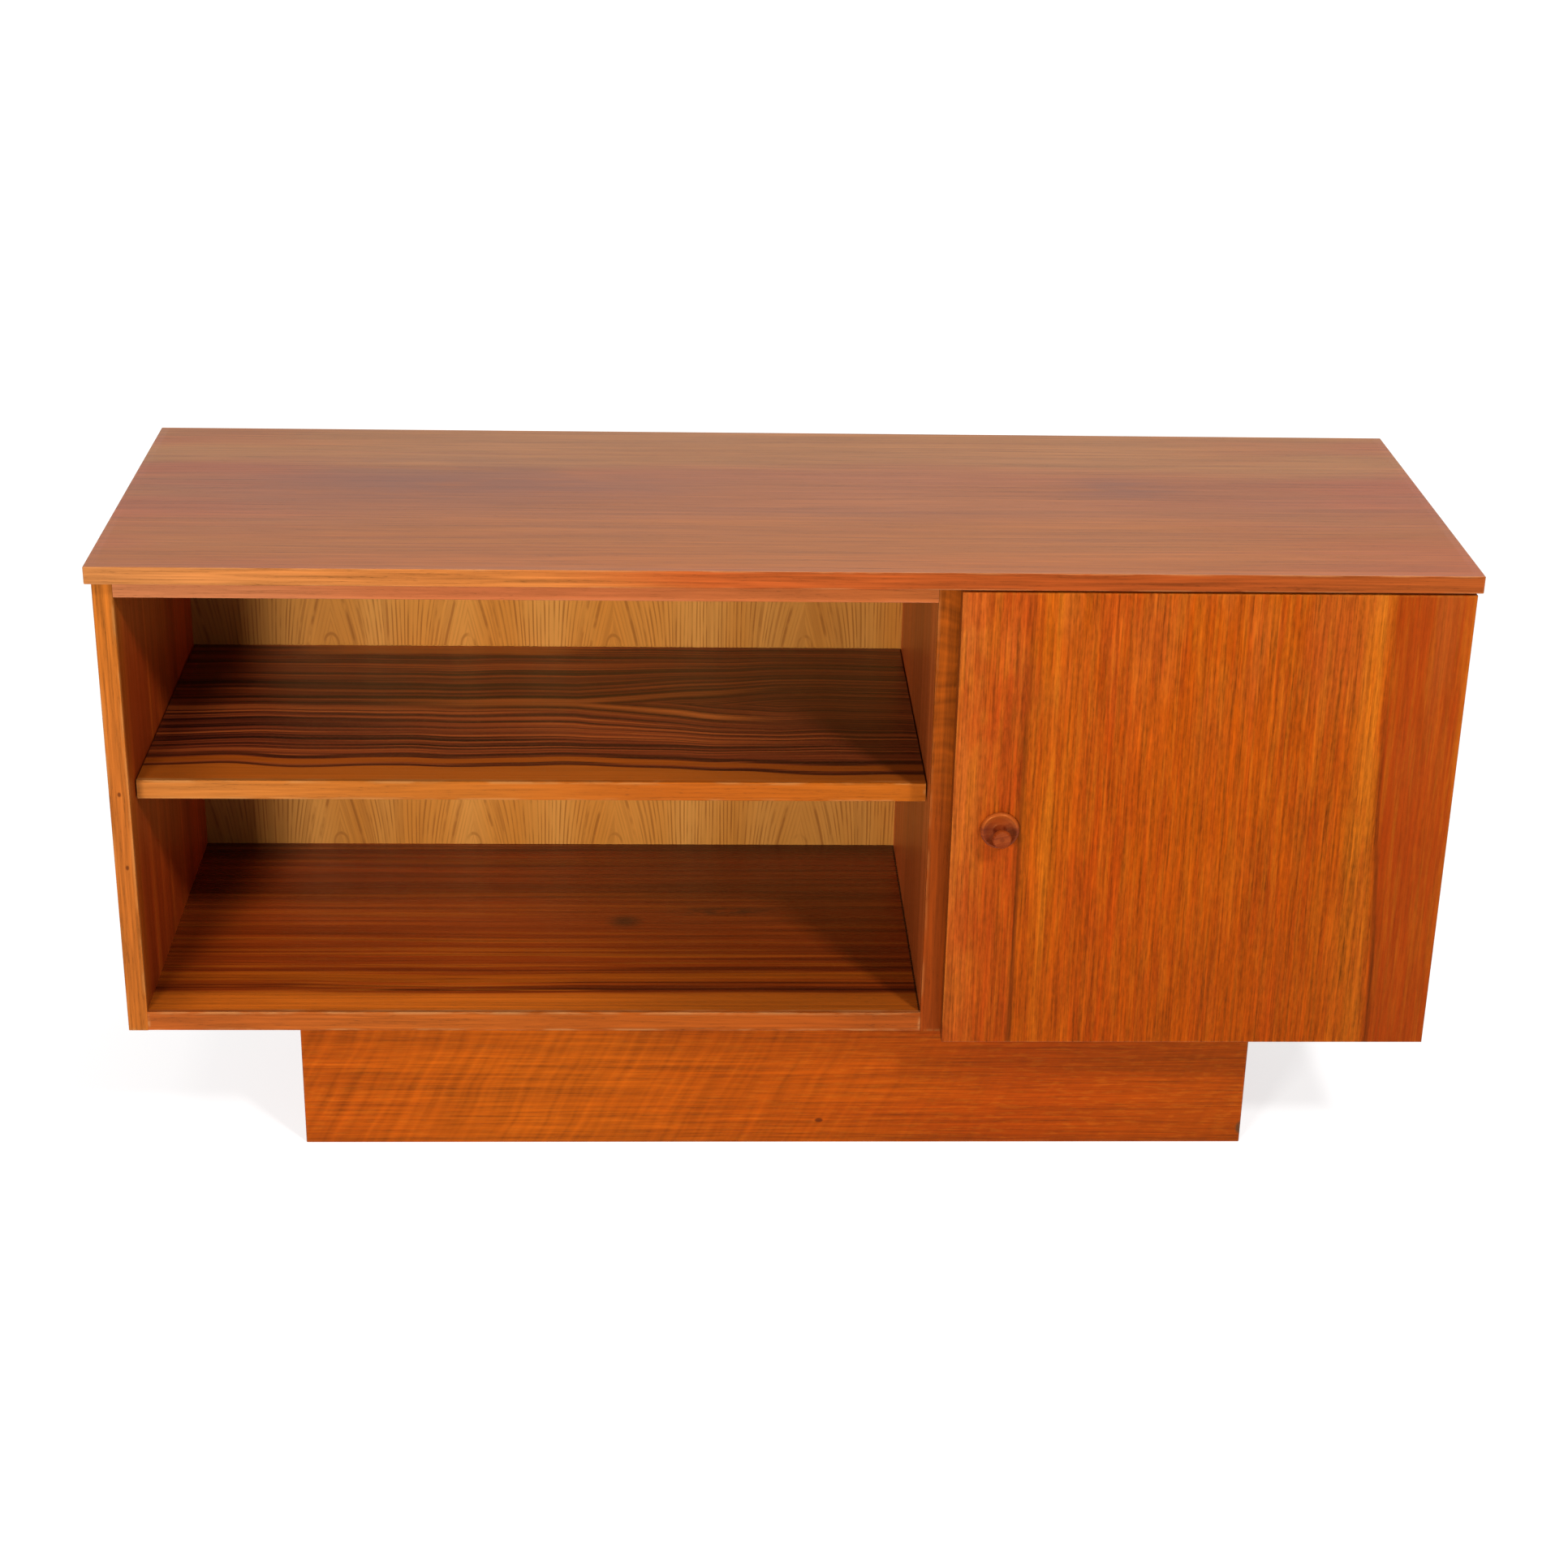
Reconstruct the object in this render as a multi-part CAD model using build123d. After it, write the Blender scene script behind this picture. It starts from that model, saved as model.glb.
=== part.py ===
from build123d import *
import os

# Low teak cabinet for a television, in millimetres. +X is to the right, the front faces -Y, +Z is up.
# The origin is on the floor, at the middle of the overall width and depth.

# Carcass
CARCASS_W = 1200.0
CARCASS_D = 376.0
CARCASS_H = 442.0
FRONT_Y = -173.0            # front plane of the carcass
SIDE_T = 18.0
DIVIDER_T = 22.0
SUBTOP_T = 18.0
BOTTOM_T = 19.0
DIVIDER_X = 130.0           # left face of the divider
LIPPING_T = 5.0             # solid lipping on the front edge of each carcass board
LIPPING_EDGE_R = 0.8        # its two long front arrises, sanded round

# Back panel, let into a rebate in each side
BACK_T = 4.0
BACK_FRONT = 364.0          # from the carcass front to the panel
REBATE_W = 8.0
BACK_PLAY = 0.3

# Plinth
PLINTH_H = 147.0
PLINTH_W = 900.0
PLINTH_T = 16.0
PLINTH_SETBACK = 45.0
PLINTH_EDGE_R = 1.5         # the front board's upright arrises
CLEAT = 25.0
CORNER_BLOCK = 30.0
CORNER_BLOCK_H = 115.0
CORNER_BLOCK_LIFT = 5.0

# Top board
TOP_T = 16.0
TOP_SIDE = 2.5              # overhang at each side
TOP_FRONT = 17.0
TOP_BACK = 11.0
TOP_LIPPING_T = 8.0
TOP_EDGE_R = 1.0

# Door
DOOR_T = 16.0
DOOR_GAP = 0.6              # between the door and the carcass front
DOOR_LEFT = 149.0
DOOR_RIGHT = 597.9
DOOR_BELOW = 2.5            # the door hangs this far below the carcass
DOOR_TOP_GAP = 2.0
DOOR_LIPPING_T = 5.0
DOOR_EDGE_R = 0.8

# Shelves, resting on turned pins
SHELF_T = 18.0
SHELF_TOP_Z = 387.0
SHELF_PLAY = 1.5            # at each end
SHELF_BACK = 362.0
LEFT_SHELF_FRONT = 27.0
RIGHT_SHELF_FRONT = 60.0
PIN_GAP = 0.3
PIN_PEG_R = 2.5
PIN_STUB_R = 3.5
PIN_STUB_L = 9.0
PIN_PEG_L = 9.0
PIN_CHAMFER = 0.5
LEFT_PIN_DEPTHS = (90.0, 310.0)
RIGHT_PIN_DEPTHS = (110.0, 310.0)

# Turned knob
KNOB_X = 192.0
KNOB_Z = 362.0
KNOB_R = 17.5
KNOB_RIM_H = 5.0
KNOB_H = 24.4
BUTTON_R = 8.6

# Butt hinges
HINGE_H = 50.0
HINGE_X = 600.5
HINGE_END = 80.0            # from each end of the door to the hinge's middle
KNUCKLES = 5
KNUCKLE_R = 2.0
KNUCKLE_GAP = 0.35
LEAF_T = 1.2
LEAF_REACH = 15.5           # from the pin to the leaf's inner edge
HINGE_PIN_R = 0.95
HINGE_PIN_HEAD_R = 1.6
HINGE_PIN_HEAD_H = 0.8
PIN_FIT = 0.02
PIN_RUN = 0.05
LEAF_EDGE = 2.4             # from the pin to the leaf's plate, clear of the other leaf's knuckles
LEAF_SCREW_STEP = 17.0
LEAF_ROOM = 0.1             # around a leaf let into the wood
KNUCKLE_ROOM = 0.4

# Magnetic catch under the cupboard's sub-top
CATCH_X = 192.0
CATCH_W = 44.0
CATCH_D = 14.0
CATCH_H = 12.0
CATCH_STANDOFF = 0.9        # from the carcass front to the catch
POCKET_W = 26.0
POCKET_D = 10.0
POCKET_H = 7.0
POLE_T = 1.2
STRIKE_W = 32.0
STRIKE_H = 12.0
STRIKE_T = 1.0
STRIKE_DROP = 1.0           # below the sub-top
STRIKE_CORNER_R = 2.0
MAGNET_SETBACK = 0.6

# Fasteners
DOWEL_R = 4.0
DOWEL_L = 30.0
SIDE_EMBED = 10.0
DIVIDER_EMBED = 9.0
DOWEL_DEPTHS = (50.0, 188.0, 326.0)
HOLE_PLAY = 0.05
END_PLAY = 0.3
NAIL_R = 0.7
NAIL_HEAD_R = 1.8
NAIL_HEAD_H = 0.8
NAIL_L = 18.0
TOP_SCREW = (4.0, 2.0, 27.0)        # head radius, shank radius, length
CLEAT_SCREW = (4.0, 2.0, 40.0)
LEAF_SCREW = (2.5, 1.4, 14.0)
DOOR_LEAF_SCREW = (2.5, 1.4, 12.0)
CATCH_SCREW = (2.5, 1.4, 24.0)
STRIKE_SCREW = (2.4, 1.4, 12.0)
KNOB_SCREW_HEAD = (4.0, 2.2)        # radius, height
KNOB_SCREW_R = 2.0
KNOB_SCREW_INTO_KNOB = 12.0

# Places that follow from the sizes above
HALF_W = CARCASS_W / 2
INSIDE_X = HALF_W - SIDE_T
DIVIDER_RIGHT = DIVIDER_X + DIVIDER_T
CARCASS_Z = PLINTH_H
CARCASS_TOP = PLINTH_H + CARCASS_H
BOTTOM_Z = CARCASS_Z + BOTTOM_T
SUBTOP_Z = CARCASS_TOP - SUBTOP_T
SHELF_Z = SHELF_TOP_Z - SHELF_T
BOARD_BACK_Y = FRONT_Y + BACK_FRONT
REAR_Y = FRONT_Y + CARCASS_D
DOOR_BACK_Y = FRONT_Y - DOOR_GAP
DOOR_FRONT_Y = DOOR_BACK_Y - DOOR_T
DOOR_Z = CARCASS_Z - DOOR_BELOW
DOOR_TOP_Z = CARCASS_TOP - DOOR_TOP_GAP
HINGE_Y = FRONT_Y - DOOR_GAP / 2
HINGE_LEVELS = {"upper": DOOR_TOP_Z - HINGE_END, "lower": DOOR_Z + HINGE_END}
LEAF_X = HINGE_X - LEAF_REACH
LEAF_SCREW_X = HINGE_X - (LEAF_REACH + LEAF_EDGE) / 2
PIN_Z = SHELF_Z - PIN_GAP - PIN_STUB_R
PLINTH_FRONT_Y = FRONT_Y + PLINTH_SETBACK
PLINTH_REAR_Y = REAR_Y - PLINTH_SETBACK
PLINTH_END_X = PLINTH_W / 2 - PLINTH_T
CATCH_FRONT_Y = FRONT_Y + CATCH_STANDOFF
CATCH_Z = SUBTOP_Z - CATCH_H
STRIKE_Z = SUBTOP_Z - STRIKE_DROP - STRIKE_H
STRIKE_SCREW_Z = STRIKE_Z + STRIKE_H / 2

BASE = (Align.CENTER, Align.CENTER, Align.MIN)


# ---------------------------------------------------------------- shapes

def block(x0, x1, y0, y1, z0, z1):
    """A square-edged block between two corners."""
    return Pos((x0 + x1) / 2, (y0 + y1) / 2, (z0 + z1) / 2) * Box(x1 - x0, y1 - y0, z1 - z0)


def rod(radius, length, start, direction):
    """A round rod from a start point along a direction."""
    return Plane(origin=start, z_dir=direction).location * Cylinder(radius, length, align=BASE)


def cut(shape, tools):
    """The shape with every tool taken out of it."""
    for tool in tools:
        shape = shape - tool
    return shape


def group(solids):
    """Separate solids kept as one piece of the model."""
    return Compound(children=list(solids))


def turned(points):
    """A solid of revolution about Z from (radius, height) points."""
    profile = make_face(Polyline([(r, 0, z) for r, z in points], close=True))
    return revolve(profile, Axis.Z)


def screw(size, point, direction):
    """A slotted countersunk wood screw, head flush at the point, tip along the direction."""
    head_r, shank_r, length = size
    neck = head_r - shank_r
    tip = 2 * shank_r
    body = turned([(0, 0), (head_r, 0), (shank_r, neck), (shank_r, length - tip), (0, length)])
    slot = Box(3 * head_r, 0.35 * shank_r, 0.9 * shank_r)
    return Plane(origin=point, z_dir=direction).location * (body - slot)


def screw_hole(size, point, direction):
    """The countersunk pilot hole that a screw of this size fills."""
    head_r, shank_r, length = size
    neck = head_r - shank_r
    wide = head_r + HOLE_PLAY
    narrow = shank_r + HOLE_PLAY
    mouth = 0.2
    end = length + END_PLAY
    hole = turned([(0, -mouth), (wide, -mouth), (wide, 0), (narrow, neck), (narrow, end), (0, end)])
    return Plane(origin=point, z_dir=direction).location * hole


# ---------------------------------------------------------------- dowels, pins, nails and screws

LEVEL_BOARDS = {"bottom": CARCASS_Z + BOTTOM_T / 2, "subtop": CARCASS_TOP - SUBTOP_T / 2}

# Each inner face of an upright: x, direction into the bay, depth of a dowel in the upright
FACES = {
    "side_left": [(-INSIDE_X, 1, SIDE_EMBED)],
    "divider": [(DIVIDER_X, -1, DIVIDER_EMBED), (DIVIDER_RIGHT, 1, DIVIDER_EMBED)],
    "side_right": [(INSIDE_X, -1, SIDE_EMBED)],
}
BAY_FACES = {
    "left": FACES["side_left"] + FACES["divider"][:1],
    "right": FACES["divider"][1:] + FACES["side_right"],
}
PIN_DEPTHS = {"left": LEFT_PIN_DEPTHS, "right": RIGHT_PIN_DEPTHS}


def dowels(faces, levels, play=0.0, end_play=0.0):
    """Dowels across the joint between upright faces and the boards at the given levels."""
    rods = []
    for x, way, embed in faces:
        for level in levels:
            for depth in DOWEL_DEPTHS:
                start = (x - way * (embed + end_play), FRONT_Y + depth, LEVEL_BOARDS[level])
                rods.append(rod(DOWEL_R + play, DOWEL_L + 2 * end_play, start, (way, 0, 0)))
    return rods


def dowel_holes(faces, levels):
    return dowels(faces, levels, HOLE_PLAY, END_PLAY)


def shelf_pins(bay):
    """Turned pins: a peg in the upright and a thicker stub that carries the shelf."""
    pins = []
    for x, way, _ in BAY_FACES[bay]:
        for depth in PIN_DEPTHS[bay]:
            centre = (x, FRONT_Y + depth, PIN_Z)
            stub = rod(PIN_STUB_R, PIN_STUB_L, centre, (way, 0, 0))
            stub = chamfer(stub.edges().filter_by(GeomType.CIRCLE), PIN_CHAMFER)
            pins.append(stub + rod(PIN_PEG_R, PIN_PEG_L, centre, (-way, 0, 0)))
    return pins


def pin_holes(upright):
    """Blind holes for the pegs of every bay that the upright borders."""
    holes = []
    for bay, faces in BAY_FACES.items():
        for face in faces:
            if face in FACES[upright]:
                x, way, _ = face
                for depth in PIN_DEPTHS[bay]:
                    mouth = (x, FRONT_Y + depth, PIN_Z)
                    holes.append(rod(PIN_PEG_R + HOLE_PLAY, PIN_PEG_L + END_PLAY, mouth, (-way, 0, 0)))
    return holes


TOP_SCREW_XS = {"left": (-523.0, -226.0, 70.0), "right": (230.0, 523.0)}
TOP_SCREW_DEPTHS = (70.0, 300.0)
CLEAT_SCREW_XS = {"left": (-380.0, -130.0, 90.0), "right": (240.0, 400.0)}
CLEAT_MIDDLES = {
    "front": PLINTH_FRONT_Y + PLINTH_T + CLEAT / 2,
    "back": PLINTH_REAR_Y - PLINTH_T - CLEAT / 2,
}
NAIL_ROWS = (-555.0, -400.0, -240.0, -80.0, 60.0, 250.0, 400.0, 555.0)
NAIL_LEVELS = (230.0, 365.0, 500.0)


def top_screw_points(bay):
    return [(x, FRONT_Y + depth, SUBTOP_Z) for x in TOP_SCREW_XS[bay] for depth in TOP_SCREW_DEPTHS]


def cleat_screw_points(bay, rows=("front", "back")):
    z = CARCASS_Z - CLEAT
    return [(x, CLEAT_MIDDLES[row], z) for x in CLEAT_SCREW_XS[bay] for row in rows]


def nail_points():
    """Nails along the level boards, the divider and the shoulder of each rebate."""
    along = [(x, level) for level in LEVEL_BOARDS.values() for x in NAIL_ROWS]
    middle = [(DIVIDER_X + DIVIDER_T / 2, z) for z in NAIL_LEVELS]
    shoulders = [(side * (INSIDE_X + REBATE_W / 2), z) for side in (-1, 1) for z in NAIL_LEVELS]
    return along + middle + shoulders


def nail_holes():
    start_y = BOARD_BACK_Y + BACK_T
    return [rod(NAIL_R + HOLE_PLAY, NAIL_L + END_PLAY, (x, start_y, z), (0, -1, 0)) for x, z in nail_points()]


def nail_holes_between(x0, x1, z0, z1):
    """The nail holes whose middles lie inside one board's back edge."""
    holes = zip(nail_points(), nail_holes())
    return [hole for (x, z), hole in holes if x0 < x < x1 and z0 < z < z1]


def back_nails():
    nails = []
    for x, z in nail_points():
        shank = rod(NAIL_R, NAIL_L, (x, BOARD_BACK_Y + BACK_T, z), (0, -1, 0))
        head = rod(NAIL_HEAD_R, NAIL_HEAD_H, (x, BOARD_BACK_Y + BACK_T, z), (0, 1, 0))
        nails.append(shank + head)
    return nails


def leaf_screw_points(y):
    steps = (-LEAF_SCREW_STEP, 0.0, LEAF_SCREW_STEP)
    return [(LEAF_SCREW_X, y, level + step) for level in HINGE_LEVELS.values() for step in steps]


def catch_screw_points():
    ear = (CATCH_W + POCKET_W) / 4
    y = CATCH_FRONT_Y + CATCH_D / 2
    return [(CATCH_X - ear, y, CATCH_Z), (CATCH_X + ear, y, CATCH_Z)]


STRIKE_SCREW_POINT = (CATCH_X, DOOR_BACK_Y + STRIKE_T, STRIKE_SCREW_Z)
INTO_DOOR = (0, -1, 0)
INTO_SIDE = (0, 1, 0)
UP = (0, 0, 1)


# ---------------------------------------------------------------- carcass

def upright(name, x0, x1, depth):
    """A side or the divider, behind its front lipping, with its dowel, pin and nail holes."""
    board = block(x0, x1, FRONT_Y + LIPPING_T, FRONT_Y + depth, CARCASS_Z, CARCASS_TOP)
    tools = dowel_holes(FACES[name], LEVEL_BOARDS) + pin_holes(name)
    tools += nail_holes_between(x0, x1, CARCASS_Z, CARCASS_TOP)
    return cut(board, tools)


def rebate(side):
    """The step in a side's rear inner edge that takes the back panel."""
    inner = side * INSIDE_X
    outer = side * (INSIDE_X + REBATE_W)
    return block(min(inner, outer), max(inner, outer), BOARD_BACK_Y, REAR_Y + 1,
                 CARCASS_Z - 1, CARCASS_TOP + 1)


def side_left():
    return upright("side_left", -HALF_W, -INSIDE_X, CARCASS_D) - rebate(-1)


def side_right():
    board = upright("side_right", INSIDE_X, HALF_W, CARCASS_D) - rebate(1)
    return cut(board, [screw_hole(LEAF_SCREW, p, INTO_SIDE) for p in leaf_screw_points(FRONT_Y)])


def divider():
    return upright("divider", DIVIDER_X, DIVIDER_RIGHT, BACK_FRONT)


def sanded(strip, along):
    """A lipping strip with its two long front arrises rounded."""
    front = strip.faces().sort_by(Axis.Y)[0]
    return fillet(front.edges().filter_by(along), LIPPING_EDGE_R)


def upright_lipping(x0, x1):
    return sanded(block(x0, x1, FRONT_Y, FRONT_Y + LIPPING_T, CARCASS_Z, CARCASS_TOP), Axis.Z)


def level_lipping(x0, x1, z0, z1):
    return sanded(block(x0, x1, FRONT_Y, FRONT_Y + LIPPING_T, z0, z1), Axis.X)


def side_right_lipping():
    """The right side's lipping, let in for the hinge leaves and their knuckles."""
    strip = upright_lipping(INSIDE_X, HALF_W)
    tools = [screw_hole(LEAF_SCREW, p, INTO_SIDE) for p in leaf_screw_points(FRONT_Y)]
    for level in HINGE_LEVELS.values():
        half = HINGE_H / 2
        tools.append(block(LEAF_X - LEAF_ROOM, HALF_W + 1, FRONT_Y - 1, FRONT_Y + LEAF_T,
                           level - half - LEAF_ROOM, level + half + LEAF_ROOM))
        end = half + HINGE_PIN_HEAD_H + KNUCKLE_ROOM
        reach = KNUCKLE_R + KNUCKLE_ROOM
        tools.append(block(HINGE_X - reach, HALF_W + 1, FRONT_Y - 1, HINGE_Y + reach,
                           level - end, level + end))
    return cut(strip, tools)


BAYS = {"left": (-INSIDE_X, DIVIDER_X), "right": (DIVIDER_RIGHT, INSIDE_X)}


def bottom_board(bay):
    x0, x1 = BAYS[bay]
    board = block(x0, x1, FRONT_Y + LIPPING_T, BOARD_BACK_Y, CARCASS_Z, BOTTOM_Z)
    tools = dowel_holes(BAY_FACES[bay], ["bottom"])
    tools += [screw_hole(CLEAT_SCREW, p, UP) for p in cleat_screw_points(bay)]
    tools += nail_holes_between(x0, x1, CARCASS_Z, BOTTOM_Z)
    return cut(board, tools)


def subtop_board(bay):
    x0, x1 = BAYS[bay]
    board = block(x0, x1, FRONT_Y + LIPPING_T, BOARD_BACK_Y, SUBTOP_Z, CARCASS_TOP)
    tools = dowel_holes(BAY_FACES[bay], ["subtop"])
    tools += [screw_hole(TOP_SCREW, p, UP) for p in top_screw_points(bay)]
    tools += nail_holes_between(x0, x1, SUBTOP_Z, CARCASS_TOP)
    if bay == "right":
        tools += [screw_hole(CATCH_SCREW, p, UP) for p in catch_screw_points()]
    return cut(board, tools)


def back_panel():
    half = INSIDE_X + REBATE_W - BACK_PLAY
    panel = block(-half, half, BOARD_BACK_Y, BOARD_BACK_Y + BACK_T, CARCASS_Z + 1, CARCASS_TOP - 1)
    return cut(panel, nail_holes())


def shelf_slab(bay, depth0, depth1):
    x0, x1 = BAYS[bay]
    return block(x0 + SHELF_PLAY, x1 - SHELF_PLAY, FRONT_Y + depth0, FRONT_Y + depth1, SHELF_Z, SHELF_TOP_Z)


# ---------------------------------------------------------------- top board

def top_slab():
    """The whole top with rounded arrises, before it is divided into core and lippings."""
    x = HALF_W + TOP_SIDE
    slab = block(-x, x, FRONT_Y - TOP_FRONT, REAR_Y + TOP_BACK, CARCASS_TOP, CARCASS_TOP + TOP_T)
    front = slab.faces().sort_by(Axis.Y)[0].edges()
    ends = slab.edges().filter_by(Axis.Y)
    return fillet(front + ends, TOP_EDGE_R)


def top_pieces():
    slab = top_slab()
    x = HALF_W + TOP_SIDE
    core_x = x - TOP_LIPPING_T
    y0 = FRONT_Y - TOP_FRONT
    core_y = y0 + TOP_LIPPING_T
    y1 = REAR_Y + TOP_BACK
    z0 = CARCASS_TOP
    z1 = CARCASS_TOP + TOP_T
    bays = ("left", "right")
    tools = [screw_hole(TOP_SCREW, p, UP) for bay in bays for p in top_screw_points(bay)]
    return {
        "top_board": cut(block(-core_x, core_x, core_y, y1, z0, z1), tools),
        "top_lipping_front": slab & block(-x, x, y0, core_y, z0, z1),
        "top_lipping_left": slab & block(-x, -core_x, core_y, y1, z0, z1),
        "top_lipping_right": slab & block(core_x, x, core_y, y1, z0, z1),
    }


# ---------------------------------------------------------------- door

def door_slab():
    """The whole door with a rounded front arris, let in at the back for the hinge leaves."""
    slab = block(DOOR_LEFT, DOOR_RIGHT, DOOR_FRONT_Y, DOOR_BACK_Y, DOOR_Z, DOOR_TOP_Z)
    slab = fillet(slab.faces().sort_by(Axis.Y)[0].edges(), DOOR_EDGE_R)
    tools = [screw_hole(DOOR_LEAF_SCREW, p, INTO_DOOR) for p in leaf_screw_points(DOOR_BACK_Y)]
    for level in HINGE_LEVELS.values():
        half = HINGE_H / 2 + LEAF_ROOM
        tools.append(block(LEAF_X - LEAF_ROOM, DOOR_RIGHT + 1, DOOR_BACK_Y - LEAF_T, DOOR_BACK_Y + 1,
                           level - half, level + half))
    tools.append(screw_hole(STRIKE_SCREW, STRIKE_SCREW_POINT, INTO_DOOR))
    knob_start = (KNOB_X, DOOR_BACK_Y + 1, KNOB_Z)
    tools.append(rod(KNOB_SCREW_R + HOLE_PLAY, DOOR_T + 2, knob_start, INTO_DOOR))
    return cut(slab, tools)


def door_pieces():
    slab = door_slab()
    x0, x1 = DOOR_LEFT + DOOR_LIPPING_T, DOOR_RIGHT - DOOR_LIPPING_T
    z0, z1 = DOOR_Z + DOOR_LIPPING_T, DOOR_TOP_Z - DOOR_LIPPING_T
    y0, y1 = DOOR_FRONT_Y, DOOR_BACK_Y
    return {
        "door_panel": slab & block(x0, x1, y0, y1, z0, z1),
        "door_lipping_left": slab & block(DOOR_LEFT, x0, y0, y1, DOOR_Z, DOOR_TOP_Z),
        "door_lipping_right": slab & block(x1, DOOR_RIGHT, y0, y1, DOOR_Z, DOOR_TOP_Z),
        "door_lipping_bottom": slab & block(x0, x1, y0, y1, DOOR_Z, z0),
        "door_lipping_top": slab & block(x0, x1, y0, y1, z1, DOOR_TOP_Z),
    }


def knob():
    """A turned rose with a rounded rim and a dished face, and a flared button on a neck."""
    rim_r = KNOB_R - 2.5
    foot_r = KNOB_R - 1.0
    neck_r = 4.8
    dish_h = 2.4
    flare_r = BUTTON_R - 1.0
    face_r = BUTTON_R - 1.3
    dimple_h = 0.9
    pilot_r = KNOB_SCREW_R + HOLE_PLAY
    pilot_h = KNOB_SCREW_INTO_KNOB + END_PLAY
    lines = [
        Polyline((face_r, KNOB_H), (0, KNOB_H), (0, pilot_h), (pilot_r, pilot_h), (pilot_r, 0), (foot_r, 0)),
        ThreePointArc((foot_r, 0), (KNOB_R, 2.2), (rim_r, KNOB_RIM_H)),
        ThreePointArc((rim_r, KNOB_RIM_H), (10.0, dish_h + 0.5), (neck_r + 1.4, dish_h + 1.2)),
        ThreePointArc((neck_r + 1.4, dish_h + 1.2), (neck_r, 9.0), (flare_r, 18.0)),
        ThreePointArc((flare_r, 18.0), (BUTTON_R, 21.5), (face_r, KNOB_H)),
    ]
    body = revolve(make_face(lines), Axis.Y)
    dimple_r = (face_r ** 2 + dimple_h ** 2) / (2 * dimple_h)
    dimple = Pos(0, KNOB_H - dimple_h + dimple_r, 0) * Sphere(dimple_r)
    return Pos(KNOB_X, DOOR_FRONT_Y, KNOB_Z) * Rot(Z=180) * (body - dimple)


def knob_screw():
    head_r, head_h = KNOB_SCREW_HEAD
    length = DOOR_T + KNOB_SCREW_INTO_KNOB
    dome = turned([(0, 0), (head_r, 0), (head_r, head_h * 0.4), (head_r * 0.6, head_h), (0, head_h)])
    slot = Pos(0, 0, head_h) * Box(3 * head_r, 0.9, head_h)
    shank = Cylinder(KNOB_SCREW_R, length, align=(Align.CENTER, Align.CENTER, Align.MAX))
    place = Plane(origin=(KNOB_X, DOOR_BACK_Y, KNOB_Z), z_dir=(0, 1, 0)).location
    return place * ((dome - slot) + shank)


# ---------------------------------------------------------------- hinges

KNUCKLE_H = (HINGE_H - (KNUCKLES - 1) * KNUCKLE_GAP) / KNUCKLES


def hinge_leaf(way, first, bore_r, level, size, face_y, direction):
    """One leaf: a plate on one side of the gap (way is +1 or -1 in Y) and every second knuckle."""
    half = HINGE_H / 2
    near = way * DOOR_GAP / 2
    far = way * (DOOR_GAP / 2 + LEAF_T)
    y0, y1 = min(near, far), max(near, far)
    leaf = block(-LEAF_REACH, -(HINGE_X - DOOR_RIGHT), y0, y1, -half, half)
    for index in range(first, KNUCKLES, 2):
        z0 = -half + index * (KNUCKLE_H + KNUCKLE_GAP)
        leaf += block(-LEAF_REACH, 0, y0, y1, z0, z0 + KNUCKLE_H)
        leaf += Pos(0, 0, z0) * Cylinder(KNUCKLE_R, KNUCKLE_H, align=BASE)
    leaf -= Cylinder(bore_r, HINGE_H + 2)
    leaf = Pos(HINGE_X, HINGE_Y, level) * leaf
    return cut(leaf, [screw_hole(size, p, direction) for p in leaf_screw_points(face_y)])


def hinge_pieces():
    pieces = {}
    for name, level in HINGE_LEVELS.items():
        pieces[f"hinge_{name}_side_leaf"] = hinge_leaf(
            1, 0, HINGE_PIN_R + PIN_FIT, level, LEAF_SCREW, FRONT_Y, INTO_SIDE)
        pieces[f"hinge_{name}_door_leaf"] = hinge_leaf(
            -1, 1, HINGE_PIN_R + PIN_RUN, level, DOOR_LEAF_SCREW, DOOR_BACK_Y, INTO_DOOR)
        half = HINGE_H / 2
        pin = Cylinder(HINGE_PIN_R, HINGE_H)
        pin += Pos(0, 0, half) * Cylinder(HINGE_PIN_HEAD_R, HINGE_PIN_HEAD_H, align=BASE)
        pin += Pos(0, 0, -half - HINGE_PIN_HEAD_H) * Cylinder(HINGE_PIN_HEAD_R, HINGE_PIN_HEAD_H, align=BASE)
        pieces[f"hinge_{name}_pin"] = Pos(HINGE_X, HINGE_Y, level) * pin
    return pieces


# ---------------------------------------------------------------- catch

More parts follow.
